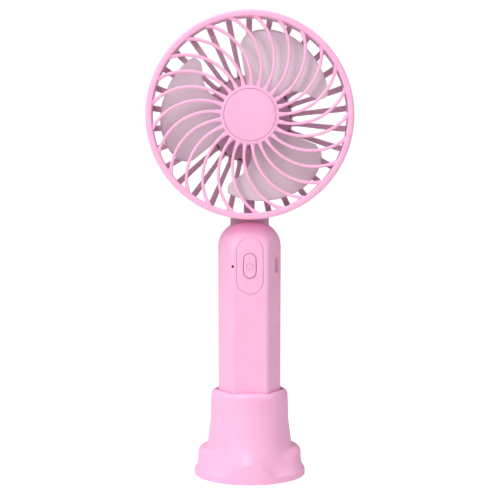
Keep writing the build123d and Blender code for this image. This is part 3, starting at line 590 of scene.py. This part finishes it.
def button_panel():
    """Racetrack panel round the button, with a rolled edge outside and inside."""
    front = PANEL_FRONT_Y
    rear = front + PANEL_THICK
    edge = PANEL_EDGE
    hole_width = BUTTON_WIDTH + 2 * MOVING_GAP
    hole_height = BUTTON_HEIGHT + 2 * MOVING_GAP
    loops = [racetrack_loop(PANEL_WIDTH, PANEL_HEIGHT, rear)]
    for inset, lift in arc(edge, edge, edge, 180, 270, 4):
        loops.append(racetrack_loop(PANEL_WIDTH, PANEL_HEIGHT, front + lift, inset))
    for inset, lift in arc(-edge, edge, edge, 270, 360, 4):
        loops.append(racetrack_loop(hole_width, hole_height, front + lift, inset))
    loops.append(racetrack_loop(hole_width, hole_height, rear))
    return piece("panel", [skin(loops, wrap=True)], "fan", ["button_panel"])


def power_button():
    """Slightly dished racetrack cap with a flange and a stem behind it."""
    front = BUTTON_FRONT_Y
    edge = BUTTON_EDGE
    loops = [racetrack_loop(BUTTON_WIDTH, BUTTON_HEIGHT, FLANGE_FRONT_Y)]
    for inset, lift in arc(edge, edge, edge, 180, 270, 5):
        loops.append(racetrack_loop(BUTTON_WIDTH, BUTTON_HEIGHT, front + lift, inset))
    for inset in (1.2, 2.2, 2.9):
        dish = BUTTON_DISH * ease(inset, edge, 3.0)
        loops.append(racetrack_loop(BUTTON_WIDTH, BUTTON_HEIGHT, front + dish, inset))
    flange = racetrack_prism(BUTTON_WIDTH + 2 * FLANGE_WIDER,
                             BUTTON_HEIGHT + 2 * FLANGE_WIDER, FLANGE_FRONT_Y, FLANGE_REAR_Y)
    stem = racetrack_prism(STEM_WIDTH, STEM_WIDTH, FLANGE_REAR_Y, STEM_REAR_Y)
    return piece("button", [skin(loops), flange, stem], "button",
                 ["power_button"])


def power_sign():
    """A low open ring with an upright bar in a darker tone, the common on-off sign."""
    centre_z = BUTTON_Z - SIGN_DROP
    gap_half = 35
    steps = 40
    stroke = [(SIGN_STROKE_R * cos(pi / 4 * k),
               BUTTON_FRONT_Y + 0.1 + SIGN_STROKE_R * sin(pi / 4 * k)) for k in range(8)]
    ring = []
    for i in range(steps + 1):
        a = radians(gap_half + (360 - 2 * gap_half) * i / steps)
        ring.append([(sin(a) * (SIGN_R + out), y, centre_z + cos(a) * (SIGN_R + out))
                     for out, y in stroke])
    bar = [[(x, y, centre_z + rise) for x, y in stroke] for rise in SIGN_BAR]
    return piece("power_sign", [skin(ring), skin(bar)], "button",
                 ["power_button"])


# ---------- stand
def skirt_profile(hump, foot_wall):
    """Concave skirt of the bell down to the foot wall, as (radius, height)."""
    upper_pull = (SKIRT_TOP_R + 1.0, 12.0 + 0.45 * hump)
    lower_pull = (22.8, hump + 2.8)
    curve = bezier((SKIRT_TOP_R, SKIRT_TOP), upper_pull, lower_pull, (FOOT_R, foot_wall))
    return curve + [(FOOT_R, FOOT_Z)]


def puck_profile():
    """The stepped shoulder at the sides and rear, as (radius, height)."""
    start = [(SKIRT_TOP_R, SKIRT_TOP), (20.5, 19.0), (21.0, 15.2)]
    hollow = arc(22.1, PUCK_TOP + 1.1, 1.1, 180, 260, 4)[1:]
    edge = arc(PUCK_R - PUCK_EDGE, PUCK_TOP - PUCK_EDGE, PUCK_EDGE, 80, 0, 9)
    wall = bezier((PUCK_R, PUCK_FLARE_Z), (PUCK_R + 0.05, 6.4), (PUCK_R + 0.4, 3.9),
                  (FOOT_R, 2.6), 10)
    return start + hollow + edge + wall + [(FOOT_R, FOOT_Z)]


def stand_column(angle):
    """Outer profile at one angle: plain skirt in front, stepped shoulder elsewhere."""
    off_front = abs((angle + 90 + 180) % 360 - 180)
    x = FOOT_R * sin(radians(off_front)) if off_front < 90 else FOOT_R
    arch = ARCH_TOP - (ARCH_TOP - SKIRT_LOW) * (x / ARCH_HALF) ** 2
    foot_wall = -soft_min(-arch, -SKIRT_LOW, ARCH_SOFTNESS)
    hump = ARCH_TOP - (ARCH_TOP - SKIRT_LOW) * ease(x, 0, HUMP_HALF)
    plain = along(skirt_profile(hump, foot_wall), SKIRT_ROWS)
    stepped = along(puck_profile(), SKIRT_ROWS)
    share = ease(off_front, PUCK_STARTS, PUCK_FULL)
    return [(p[0] + share * (q[0] - p[0]), p[1] + share * (q[1] - p[1]))
            for p, q in zip(plain, stepped)]


def collar_lip():
    """Loops over the collar's rounded top, from its outside in to the socket's edge."""
    middle = COLLAR_R - COLLAR_LIP
    low = COLLAR_TOP - COLLAR_LIP
    steps = 12
    mouth = [socket_reach(a) + MOUTH_EDGE for a in angles()]
    ends = [acos(min(max((reach - middle) / COLLAR_LIP, 0.0), 1.0)) for reach in mouth]
    loops = []
    for i in range(steps + 1):
        loop = []
        for a, end in zip(angles(), ends):
            r = middle + COLLAR_LIP * cos(end * i / steps)
            z = low + COLLAR_LIP * sin(end * i / steps)
            loop.append((r * cos(radians(a)), r * sin(radians(a)), z))
        loops.append(loop)
    for turn in (0, 30, 60, 90):
        loop = []
        for a, reach, end in zip(angles(), mouth, ends):
            r = reach - MOUTH_EDGE * sin(radians(turn))
            z = low + COLLAR_LIP * sin(end) - MOUTH_EDGE * (1 - cos(radians(turn)))
            loop.append((r * cos(radians(a)), r * sin(radians(a)), z))
        loops.append(loop)
    return loops


def stand_body():
    """The bell-shaped stand: recess under the foot, skirt, collar and socket in one wall."""
    columns = [stand_column(a) for a in angles()]
    loops = turned_upright([(STAND_CENTRE_R, BALLAST_TOP), (BALLAST_R, BALLAST_TOP),
                            (BALLAST_R, PLATE_TOP), (PLATE_R, PLATE_TOP), (PLATE_R, FOOT_Z)])
    for row in reversed(range(SKIRT_ROWS)):
        loops.append([(column[row][0] * cos(radians(a)), column[row][0] * sin(radians(a)),
                       column[row][1]) for a, column in zip(angles(), columns)])
    loops += turned_upright(COLLAR_SIDE)
    loops += collar_lip()
    loops.append(polar_loop(socket_reach, SOCKET_FLOOR))
    loops += turned_upright([(STAND_CENTRE_R, SOCKET_FLOOR)])
    return piece("stand", [skin(loops)], "stand",
                 ["stand_shell"], crease=32)


# ---------- head
def rim_band():
    """Outer band of the head, behind the front cover's ring."""
    outer = HEAD_R
    inner = HEAD_R - RIM_WALL
    profile = arc(outer - 0.3, COVER_SEAM_Y + 0.3, 0.3, 0, -90, 3)
    profile += arc(inner + 0.2, COVER_SEAM_Y + 0.2, 0.2, -90, -180, 3)
    profile += [(inner, RIM_REAR_Y)]
    profile += arc(outer - 0.4, RIM_REAR_Y - 0.4, 0.4, 90, 0, 3)
    return piece("rim", [skin(turned_on_axis(profile), wrap=True)], "fan",
                 ["head_rim"])


def neck():
    """Block between the rim and the handle, with its flange inside the handle."""
    block = [polar_loop(lambda a: box_reach(a, NECK_HALF_X, NECK_HALF_Y, NECK_CORNER), z)
             for z in (NECK_LOW, NECK_TOP)]
    flange = [polar_loop(lambda a: hexagon_reach(a, NECK_FLANGE_INSET), z)
              for z in (NECK_LOW, NECK_FLANGE_TOP)]
    return piece("neck", [skin(block), skin(flange)], "fan",
                 ["head_rim"])


def rear_bar():
    """One rear spoke: from the centre disc out over the rounded corner to the rim."""
    corner_r = REAR_BAR_R - REAR_CORNER_R
    corner_y = REAR_BAR_Y - REAR_CORNER_R
    path = [(r, REAR_BAR_Y) for r in (20.6, 24.0, 30.0, 37.0, 42.6)]
    path += arc(corner_r, corner_y, REAR_CORNER_R, 90, 0)[1:]
    path += [(REAR_BAR_R, y) for y in (2.0, -2.0, -4.0, RIM_REAR_Y - 0.4)]
    loops = []
    for i, (r, y) in enumerate(path):
        before = path[max(i - 1, 0)]
        after = path[min(i + 1, len(path) - 1)]
        length = sqrt((after[0] - before[0]) ** 2 + (after[1] - before[1]) ** 2)
        out_r = -(after[1] - before[1]) / length
        out_y = (after[0] - before[0]) / length
        width = REAR_BAR_WIDTH + 0.9 * ease(r, 22, 49)
        width += 1.6 * (1 - ease(r, 21, 25)) + 1.3 * ease(-y, 2.2, 5.2)
        thick = REAR_BAR_THICK + 0.5 * (1 - ease(r, 43, 49))
        loops.append(section_loop((0, y, AXIS_Z + r), (1, 0, 0), (0, out_y, out_r),
                                  width, thick, 0.42))
    return skin(loops)


def section_loop(centre, across, out, width, thick, round_off):
    """A rounded rectangle of 16 points, set square to a bar's path."""
    loop = []
    for cx, cy, start in ((1, 1, 0), (-1, 1, 90), (-1, -1, 180), (1, -1, 270)):
        for i in range(4):
            a = radians(start + 30 * i)
            u = cx * (width / 2 - round_off) + round_off * cos(a)
            v = cy * (thick / 2 - round_off) + round_off * sin(a)
            loop.append(tuple(centre[k] + u * across[k] + v * out[k] for k in range(3)))
    return loop


def wire_cover_foot():
    """Short shroud over the leads where they turn forward to the neck."""
    middle_z = WIRE_COVER_LOW + 1.5
    return skin([section_loop((0, y, middle_z), (1, 0, 0), (0, 0, 1), 4.6, 3.4, 0.5)
                 for y in (2.7, 9.2)])


def wire_cover():
    """Channel in front of the lowest rear spoke that hides the motor leads."""
    low = WIRE_COVER_LOW
    high = AXIS_Z - MOTOR_CLEAR_R
    wall = 0.7
    # Each section is its mid-depth, width, thickness and corner radius.
    outside = (11.3, WIRE_COVER_WIDTH, 5.4, 0.4)
    inside = (11.15, WIRE_COVER_WIDTH - 2 * wall, 3.7, 0.1)
    loops = []
    for z, (y, width, thick, round_off) in ((low, outside), (high, outside),
                                            (high, inside), (low, inside)):
        loops.append(section_loop((0, y, z), (1, 0, 0), (0, 1, 0), width, thick, round_off))
    return skin(loops, wrap=True)


def inner_collar():
    """Collar of the rear grille that lines the rim, seen inside the front ring."""
    outer = HEAD_R - RIM_WALL - 0.05
    inner = GRILLE_OPEN_R + 0.05
    front = COVER_REAR_Y + 0.2
    profile = [(outer, front), (outer, LINING_REAR_Y)]
    profile += arc(inner + 0.4, LINING_REAR_Y - 0.4, 0.4, 90, 180, 3)
    profile += arc(inner + 0.2, front + 0.2, 0.2, 180, 270, 3)
    return skin(turned_on_axis(profile), wrap=True)


def rear_cage():
    """All rear spokes with the centre disc, the channel for the leads and the collar."""
    bar = rear_bar()
    step = 360 / REAR_BARS
    parts = [(about_axis(bar[0], step * i), bar[1]) for i in range(REAR_BARS)]
    edge = REAR_DISC_R - 0.5
    dish_y = REAR_DISC_REAR_Y - REAR_DISC_DISH
    disc = [(CENTRE_R, REAR_DISC_FRONT_Y)]
    disc += arc(edge, REAR_DISC_FRONT_Y + 0.4, 0.4, -90, 0, 3)
    disc += arc(edge, REAR_DISC_REAR_Y - 0.4, 0.4, 0, 90, 3)
    disc += [(REAR_DISC_DISH_R, REAR_DISC_REAR_Y), (REAR_DISC_DISH_R - 0.6, dish_y),
             (CENTRE_R, dish_y)]
    parts.append(skin(turned_on_axis(disc)))
    parts.append(wire_cover())
    parts.append(wire_cover_foot())
    parts.append(inner_collar())
    return piece("rear_cage", parts, "fan", ["rear_grille"])


def clock_point(radius, clock):
    """A point of the head, as (x, height above the fan axis), from its clock angle."""
    return radius * sin(radians(clock)), radius * cos(radians(clock))


def circle_through(a, b, c):
    """Centre of the circle through three points."""
    d = 2 * (a[0] * (b[1] - c[1]) + b[0] * (c[1] - a[1]) + c[0] * (a[1] - b[1]))
    aa, bb, cc = (p[0] ** 2 + p[1] ** 2 for p in (a, b, c))
    x = (aa * (b[1] - c[1]) + bb * (c[1] - a[1]) + cc * (a[1] - b[1])) / d
    z = (aa * (c[0] - b[0]) + bb * (a[0] - c[0]) + cc * (b[0] - a[0])) / d
    return x, z


def front_spoke():
    """One curved rib: a single arc from ring to boss, sunk and flared at both ends."""
    outer = clock_point(GRILLE_OPEN_R + 0.5, SPOKE_START)
    middle = clock_point(SPOKE_BOW_R, SPOKE_START + SPOKE_BOW_TURN)
    inner = clock_point(BOSS_R - 0.7, SPOKE_START + SPOKE_TURN)
    cx, cz = circle_through(outer, middle, inner)
    radius = sqrt((outer[0] - cx) ** 2 + (outer[1] - cz) ** 2)
    first = Vector((outer[0] - cx, outer[1] - cz))
    last = Vector((inner[0] - cx, inner[1] - cz))
    sweep = first.angle_signed(last)
    loops = []
    steps = 30
    for i in range(steps + 1):
        t = i / steps
        a = -sweep * t
        x = first.x * cos(a) - first.y * sin(a)
        z = first.x * sin(a) + first.y * cos(a)
        out = (x / radius, 0.0, z / radius)
        reach = sqrt((cx + x) ** 2 + (cz + z) ** 2)
        width = SPOKE_WIDTH + 0.9 * ease(-reach, -18.0, -13.6) + 0.8 * ease(reach, 44.5, 47.4)
        centre = (cx + x, SPOKE_MID_Y, AXIS_Z + cz + z)
        loops.append(section_loop(centre, out, (0, -1, 0), width, SPOKE_DEPTH, 0.55))
    return skin(loops)


def front_cover():
    """All front ribs with the ring that laps over the rim and the boss of the badge."""
    spoke = front_spoke()
    step = 360 / SPOKES
    parts = [(about_axis(spoke[0], step * i), spoke[1]) for i in range(SPOKES)]
    lap = COVER_SEAM_Y - 0.1
    rim = arc(HEAD_R - 1.2, GRILLE_FRONT_Y + 1.2, 1.2, 0, -90, 6)
    rim += arc(GRILLE_OPEN_R + 0.5, GRILLE_FRONT_Y + 0.5, 0.5, -90, -180, 5)
    rim += [(GRILLE_OPEN_R, COVER_REAR_Y), (GRILLE_RIM_R, COVER_REAR_Y), (GRILLE_RIM_R, lap)]
    rim += arc(HEAD_R - 0.3, lap - 0.3, 0.3, 90, 0, 3)
    parts.append(skin(turned_on_axis(rim), wrap=True))
    seat_r = BADGE_R + 0.15
    boss = [(CENTRE_R, BOSS_REAR_Y), (BOSS_R, BOSS_REAR_Y)]
    boss += arc(BOSS_R - 0.6, BOSS_FRONT_Y + 0.6, 0.6, 0, -90, 5)
    boss += [(seat_r + 0.15, BOSS_FRONT_Y), (seat_r, BOSS_FRONT_Y + 0.15),
             (seat_r, BADGE_SEAT_Y), (CENTRE_R, BADGE_SEAT_Y)]
    parts.append(skin(turned_on_axis(boss)))
    return piece("front_cover", parts, "fan", ["front_grille"])


def badge():
    """Plain, faintly crowned disc with a rolled edge."""
    profile = [(CENTRE_R, BADGE_SEAT_Y), (BADGE_R, BADGE_SEAT_Y)]
    profile += arc(BADGE_R - 0.3, BADGE_EDGE_Y + 0.3, 0.3, 0, -90, 4)
    for r in (9.0, 6.0, 3.0, CENTRE_R):
        profile.append((r, BADGE_EDGE_Y - BADGE_CROWN * (1 - (r / BADGE_R) ** 2)))
    return piece("badge", [skin(turned_on_axis(profile))], "fan",
                 ["center_badge"])


# ---------- impeller
# Edges of the lower blade, as (position from 0 to 1, radius, clock angle).
LEAD = [(0.0, BLADE_IN_R, LEAD_CLOCK), (0.5, 24.0, 114.6), (1.0, 35.2, 114.0)]
TIP = [(0.0, 35.2, 114.0), (0.12, 39.4, 118.0), (0.25, 42.2, 126.0), (0.40, 43.4, 137.0),
       (0.53, 43.5, 149.0), (0.73, 42.0, 169.0), (0.90, 40.3, 188.0), (1.0, 38.9, 197.5)]
TRAIL = [(0.0, BLADE_IN_R, TRAIL_CLOCK), (0.33, 22.1, 181.0), (0.57, 28.8, 189.4),
         (0.72, 31.6, 195.0), (0.86, 35.0, 198.6), (1.0, 38.9, 197.5)]
# Half of the blade's width, as (radius, half).
BLADE_HALF = [(12.5, 13.0), (24.0, 22.0), (36.0, 29.0), (47.0, 34.0)]


def edge_point(curve, t):
    """Point on one of the blade's edges, from its (position, radius, clock angle) rows."""
    radius = between(t, [(p, r) for p, r, clock in curve])
    clock = between(t, [(p, clock) for p, r, clock in curve])
    return Vector(clock_point(radius, clock))


def blade_point(u, v):
    """Front view of the blade: u runs outwards, v from the leading to the trailing edge."""
    foot = Vector(clock_point(BLADE_IN_R, LEAD_CLOCK + v * (TRAIL_CLOCK - LEAD_CLOCK)))
    tip = edge_point(TIP, v)
    lead = edge_point(LEAD, u)
    trail = edge_point(TRAIL, u)
    corners = ((1 - u) * (1 - v) * edge_point(LEAD, 0.0)
               + (1 - u) * v * edge_point(TRAIL, 0.0)
               + u * (1 - v) * edge_point(TIP, 0.0) + u * v * edge_point(TIP, 1.0))
    return (1 - u) * foot + u * tip + (1 - v) * lead + v * trail - corners


def blade_depth(x, z):
    """Twisted, cambered sheet: the trailing corner comes forward."""
    radius = sqrt(x * x + z * z)
    side = x * cos(radians(BLADE_MID)) - z * sin(radians(BLADE_MID))
    half = between(radius, BLADE_HALF)
    share = side / half
    return BLADE_MID_Y - BLADE_DEPTH * share - BLADE_CAMBER * half * (1 - share * share)


def blade():
    """One blade: thin loops round its section, from the hub out to the tip."""
    loops = []
    rows = 26
    columns = 34
    for i in range(rows + 1):
        u = sin(pi / 2 * i / rows)
        end = sqrt(max(1 - u ** 60, 0.0))
        front = []
        rear = []
        for k in range(columns + 1):
            v = (1 - cos(pi * k / columns)) / 2
            x, z = blade_point(u, v)
            half = BLADE_THICK / 2 * end * (1 - abs(2 * v - 1) ** 40) ** 0.5 + 0.02
            y = blade_depth(x, z)
            front.append((x, y - half, AXIS_Z + z))
            rear.append((x, y + half, AXIS_Z + z))
        loops.append(front + rear[::-1])
    return skin(loops)


def fan_wheel():
    """Cup-shaped hub with a sleeve for the shaft, and three blades."""
    wall_r = HUB_R - HUB_WALL
    hub = [(CENTRE_R, HUB_FRONT_Y)]
    hub += arc(HUB_R - HUB_EDGE, HUB_FRONT_Y + HUB_EDGE, HUB_EDGE, -90, 0, 7)
    hub += [(HUB_R, HUB_REAR_Y), (wall_r, HUB_REAR_Y), (wall_r, HUB_FLOOR_Y)]
    hub += [(SLEEVE_R, HUB_FLOOR_Y), (SLEEVE_R, SLEEVE_REAR_Y), (SHAFT_R, SLEEVE_REAR_Y)]
    hub += [(SHAFT_R, SHAFT_END_Y), (CENTRE_R, SHAFT_END_Y)]
    parts = [skin(turned_on_axis(hub))]
    one = blade()
    parts += [(about_axis(one[0], 120 * i + WHEEL_TURN), one[1]) for i in range(3)]
    return piece("fan_wheel", parts, "rotor", ["impeller"], crease=50)


# ---------- materials
def new_material(name):
    """A material with its node tree and its main shader."""
    material = bpy.data.materials.new(name)
    material.use_nodes = True
    tree = material.node_tree
    return material, tree, tree.nodes["Principled BSDF"]


def noise(tree, scale, detail=2.0, stretch=None):
    """Noise over the piece's own coordinates, in features per metre."""
    coords = tree.nodes.new("ShaderNodeTexCoord")
    place = tree.nodes.new("ShaderNodeMapping")
    if stretch:
        place.inputs["Scale"].default_value = stretch
    texture = tree.nodes.new("ShaderNodeTexNoise")
    texture.inputs["Scale"].default_value = scale
    texture.inputs["Detail"].default_value = detail
    tree.links.new(coords.outputs["Object"], place.inputs["Vector"])
    tree.links.new(place.outputs["Vector"], texture.inputs["Vector"])
    return texture.outputs["Fac"]


def colour_from(tree, shader, fac, dark, light):
    """Colour that goes from dark to light with a noise."""
    ramp = tree.nodes.new("ShaderNodeValToRGB")
    ramp.color_ramp.elements[0].position = 0.3
    ramp.color_ramp.elements[0].color = (*dark, 1)
    ramp.color_ramp.elements[1].position = 0.7
    ramp.color_ramp.elements[1].color = (*light, 1)
    tree.links.new(fac, ramp.inputs["Fac"])
    tree.links.new(ramp.outputs["Color"], shader.inputs["Base Color"])


def roughness_from(tree, shader, fac, low, high):
    """Roughness that goes from low to high with a noise."""
    spread = tree.nodes.new("ShaderNodeMapRange")
    spread.inputs["From Min"].default_value = 0.3
    spread.inputs["From Max"].default_value = 0.7
    spread.inputs["To Min"].default_value = low
    spread.inputs["To Max"].default_value = high
    tree.links.new(fac, spread.inputs["Value"])
    tree.links.new(spread.outputs["Result"], shader.inputs["Roughness"])


def bump_from(tree, shader, fac, height):
    """Surface relief of a given height in millimetres."""
    bump = tree.nodes.new("ShaderNodeBump")
    bump.inputs["Strength"].default_value = 1.0
    bump.inputs["Distance"].default_value = height * MM
    tree.links.new(fac, bump.inputs["Height"])
    tree.links.new(bump.outputs["Normal"], shader.inputs["Normal"])


def surface(name, dark, light, rough, mottle=70, skin_scale=2600, relief=0.012,
            metal=0.0, stretch=None, coat=0.0, specular=0.5):
    """Two-tone mottling, varied gloss and a fine skin; the base of every finish here."""
    material, tree, shader = new_material(name)
    mottling = noise(tree, mottle, 4.0, stretch)
    grain = noise(tree, skin_scale, 2.0, stretch)
    colour_from(tree, shader, mottling, dark, light)
    roughness_from(tree, shader, noise(tree, mottle * 6, 3.0, stretch), *rough)
    bump_from(tree, shader, grain, relief)
    shader.inputs["Metallic"].default_value = metal
    shader.inputs["Specular IOR Level"].default_value = specular
    shader.inputs["Coat Weight"].default_value = coat
    shader.inputs["Coat Roughness"].default_value = 0.25
    return material


def pink_plastic():
    """Satin moulded plastic with a fine spark-eroded skin."""
    return surface("pink_plastic", (0.93, 0.447, 0.678), (0.97, 0.487, 0.718),
                   (0.36, 0.48), relief=0.006, specular=0.42)


def pale_blade_plastic():
    """Milky rose plastic, glossier than the shells, under a thin clear coat."""
    return surface("pale_blade_plastic", (0.735, 0.640, 0.702), (0.765, 0.670, 0.732),
                   (0.20, 0.28), mottle=90, relief=0.005, coat=0.2)


def finishes():
    """One material for each slot of the record, then two finishes with painted shade that
    only this scene has.
    """
    return {
        "pink_plastic": pink_plastic(),
        # painted shade: dusky_pink_plastic is a darker copy of the pink that stands for the
        # shade inside the head on the rear cage; the on-off sign wears it as its own darker
        # tone
        "dusky_pink_plastic": surface("dusky_pink_plastic", (0.60, 0.34, 0.47),
                                      (0.66, 0.385, 0.525), (0.38, 0.5), relief=0.006),
        "pale_blade_plastic": pale_blade_plastic(),
        "dark_plastic": surface("dark_plastic", (0.020, 0.019, 0.021),
                                (0.035, 0.033, 0.036), (0.35, 0.5)),
        "white_plastic": surface("white_plastic", (0.70, 0.70, 0.67), (0.78, 0.78, 0.76),
                                 (0.35, 0.5)),
        "lens_plastic": surface("lens_plastic", (0.030, 0.010, 0.018),
                                (0.055, 0.018, 0.030), (0.08, 0.16), relief=0.001,
                                coat=0.6),
        "rubber_grey": surface("rubber_grey", (0.045, 0.045, 0.046), (0.075, 0.074, 0.075),
                               (0.75, 0.92), mottle=160, relief=0.03),
        "foam_black": surface("foam_black", (0.010, 0.010, 0.010), (0.030, 0.030, 0.030),
                              (0.9, 1.0), mottle=900, skin_scale=1800, relief=0.12),
        "zinc_steel": surface("zinc_steel", (0.50, 0.51, 0.54), (0.66, 0.66, 0.67),
                              (0.22, 0.40), metal=1.0, relief=0.003,
                              stretch=(1, 1, 0.15)),
        "cast_ballast": surface("cast_ballast", (0.10, 0.10, 0.105), (0.20, 0.20, 0.205),
                                (0.55, 0.75), metal=0.9, skin_scale=900, relief=0.06),
        "bronze": surface("bronze", (0.42, 0.22, 0.09), (0.60, 0.36, 0.16), (0.30, 0.45),
                          metal=1.0, relief=0.004),
        "copper_wire": surface("copper_wire", (0.50, 0.17, 0.06), (0.72, 0.29, 0.12),
                               (0.25, 0.38), metal=1.0, skin_scale=1500, relief=0.02,
                               stretch=(1, 0.2, 1)),
        "ferrite": surface("ferrite", (0.025, 0.025, 0.027), (0.05, 0.05, 0.053),
                           (0.55, 0.72), relief=0.015),
        "board_green": surface("board_green", (0.010, 0.075, 0.030), (0.020, 0.13, 0.055),
                               (0.22, 0.35), mottle=400, relief=0.006, coat=0.3),
        "cell_wrap": surface("cell_wrap", (0.035, 0.14, 0.30), (0.055, 0.19, 0.38),
                             (0.20, 0.32), relief=0.008, coat=0.4),
        "red_insulation": surface("red_insulation", (0.36, 0.012, 0.012),
                                  (0.50, 0.025, 0.022), (0.38, 0.5)),
        "black_insulation": surface("black_insulation", (0.012, 0.012, 0.013),
                                    (0.026, 0.026, 0.028), (0.38, 0.5)),
        # painted shade: near-black nickel standing for the shade inside the charging slot
        "painted_shade_nickel": surface("painted_shade_nickel", (0.026, 0.020, 0.023), (0.050, 0.040, 0.044),
                               (0.45, 0.60), metal=0.6, relief=0.003),
        # painted shade: a darker copy of the pink for the neck, which lies in shade under the
        # head
        "shaded_dusky": surface("shaded_dusky", (0.44, 0.235, 0.335), (0.50, 0.275, 0.385),
                                (0.38, 0.5), relief=0.006),
    }


def wear(obj, material):
    """Make a material the only one of an object."""
    obj.data.materials.clear()
    obj.data.materials.append(material)


def dress(materials, pieces):
    """Give the CAD nodes the finish of their slot, and every new piece its own finish."""
    for part in frame["record"]["subparts"]:
        wear(nodes[part["node"]], materials[part["material_slot"]])
    wear(nodes["usb_socket_shell"], materials["painted_shade_nickel"])   # painted shade: made dark to stand for the shade inside the charging slot
    for obj, finish in pieces:
        wear(obj, materials[finish])


# ---------- studio, in metres
LIGHT_TARGET = (0, 0, 0.11)
CAMERA_PLACE = (-0.008, -0.570, 0.1393)
CAMERA_TARGET = (0.00025, 0, 0.1112)
CAMERA_LENS = 82.9          # millimetres, on a sensor 36 mm wide


def add_floor():
    """A wide plain pale sheet under the stand, lit up a little for the camera."""
    material, tree, shader = new_material("floor_paper")
    colour_from(tree, shader, noise(tree, 8, 3.0), (0.93, 0.93, 0.93), (0.96, 0.96, 0.96))
    roughness_from(tree, shader, noise(tree, 30, 2.0), 0.75, 0.85)
    bump_from(tree, shader, noise(tree, 600, 2.0), 0.02)
    glow = tree.nodes.new("ShaderNodeEmission")
    glow.inputs["Strength"].default_value = 0.70
    seen = tree.nodes.new("ShaderNodeLightPath")
    lift = tree.nodes.new("ShaderNodeAddShader")
    mix = tree.nodes.new("ShaderNodeMixShader")
    tree.links.new(shader.outputs[0], lift.inputs[0])
    tree.links.new(glow.outputs[0], lift.inputs[1])
    tree.links.new(seen.outputs["Is Camera Ray"], mix.inputs[0])
    tree.links.new(shader.outputs[0], mix.inputs[1])
    tree.links.new(lift.outputs[0], mix.inputs[2])
    tree.links.new(mix.outputs[0], tree.nodes["Material Output"].inputs["Surface"])
    mesh = bpy.data.meshes.new("floor")
    work = bmesh.new()
    bmesh.ops.create_grid(work, x_segments=8, y_segments=8, size=12.0)
    work.to_mesh(mesh)
    work.free()
    floor = bpy.data.objects.new("floor", mesh)
    bpy.context.scene.collection.objects.link(floor)
    mesh.materials.append(material)


def add_light(name, place, size, power):
    """A square soft box that looks at the middle of the fan; metres and watts."""
    data = bpy.data.lights.new(name, "AREA")
    data.energy = power
    data.size = size
    light = bpy.data.objects.new(name, data)
    bpy.context.scene.collection.objects.link(light)
    light.location = place
    aim = Vector(LIGHT_TARGET) - light.location
    light.rotation_euler = aim.to_track_quat("-Z", "Y").to_euler()


def add_world():
    """An even bright studio; the backdrop itself is white."""
    world = bpy.data.worlds.new("studio")
    bpy.context.scene.world = world
    world.use_nodes = True
    tree = world.node_tree
    ambient = tree.nodes["Background"]
    ambient.inputs["Color"].default_value = (1, 1, 1, 1)
    ambient.inputs["Strength"].default_value = 0.37
    backdrop = tree.nodes.new("ShaderNodeBackground")
    backdrop.inputs["Color"].default_value = (1, 1, 1, 1)
    backdrop.inputs["Strength"].default_value = 1.05
    seen = tree.nodes.new("ShaderNodeLightPath")
    mix = tree.nodes.new("ShaderNodeMixShader")
    tree.links.new(seen.outputs["Is Camera Ray"], mix.inputs[0])
    tree.links.new(ambient.outputs[0], mix.inputs[1])
    tree.links.new(backdrop.outputs[0], mix.inputs[2])
    tree.links.new(mix.outputs[0], tree.nodes["World Output"].inputs["Surface"])


def add_camera():
    """A long lens in front of the fan, a little above its middle and to its left."""
    data = bpy.data.cameras.new("camera")
    data.lens = CAMERA_LENS
    data.sensor_width = 36
    camera = bpy.data.objects.new("camera", data)
    bpy.context.scene.collection.objects.link(camera)
    camera.location = CAMERA_PLACE
    aim = Vector(CAMERA_TARGET) - camera.location
    camera.rotation_euler = aim.to_track_quat("-Z", "Y").to_euler()
    bpy.context.scene.camera = camera


# ---------- build the scene
add_camera()
add_world()
add_floor()
add_light("left_box", (-0.75, -0.95, 0.62), 0.60, 4.7)
add_light("right_box", (1.00, -0.62, 0.45), 0.60, 1.0)
add_light("top_box", (-0.38, -0.36, 1.25), 0.80, 12.2)
bpy.context.scene.view_settings.view_transform = "Standard"

built = [(handle_front(), "pink_plastic"), (handle_rear(), "pink_plastic"),
         (button_panel(), "pink_plastic"), (power_button(), "pink_plastic"),
         (power_sign(), "dusky_pink_plastic"), (stand_body(), "pink_plastic"),
         (rim_band(), "pink_plastic"), (neck(), "shaded_dusky"),
         # painted shade: the rear cage wears the darker dusky copy of the pink for the shade
         # inside the head
         (rear_cage(), "dusky_pink_plastic"), (front_cover(), "pink_plastic"),
         (badge(), "pink_plastic"), (fan_wheel(), "pale_blade_plastic")]
dress(finishes(), built)
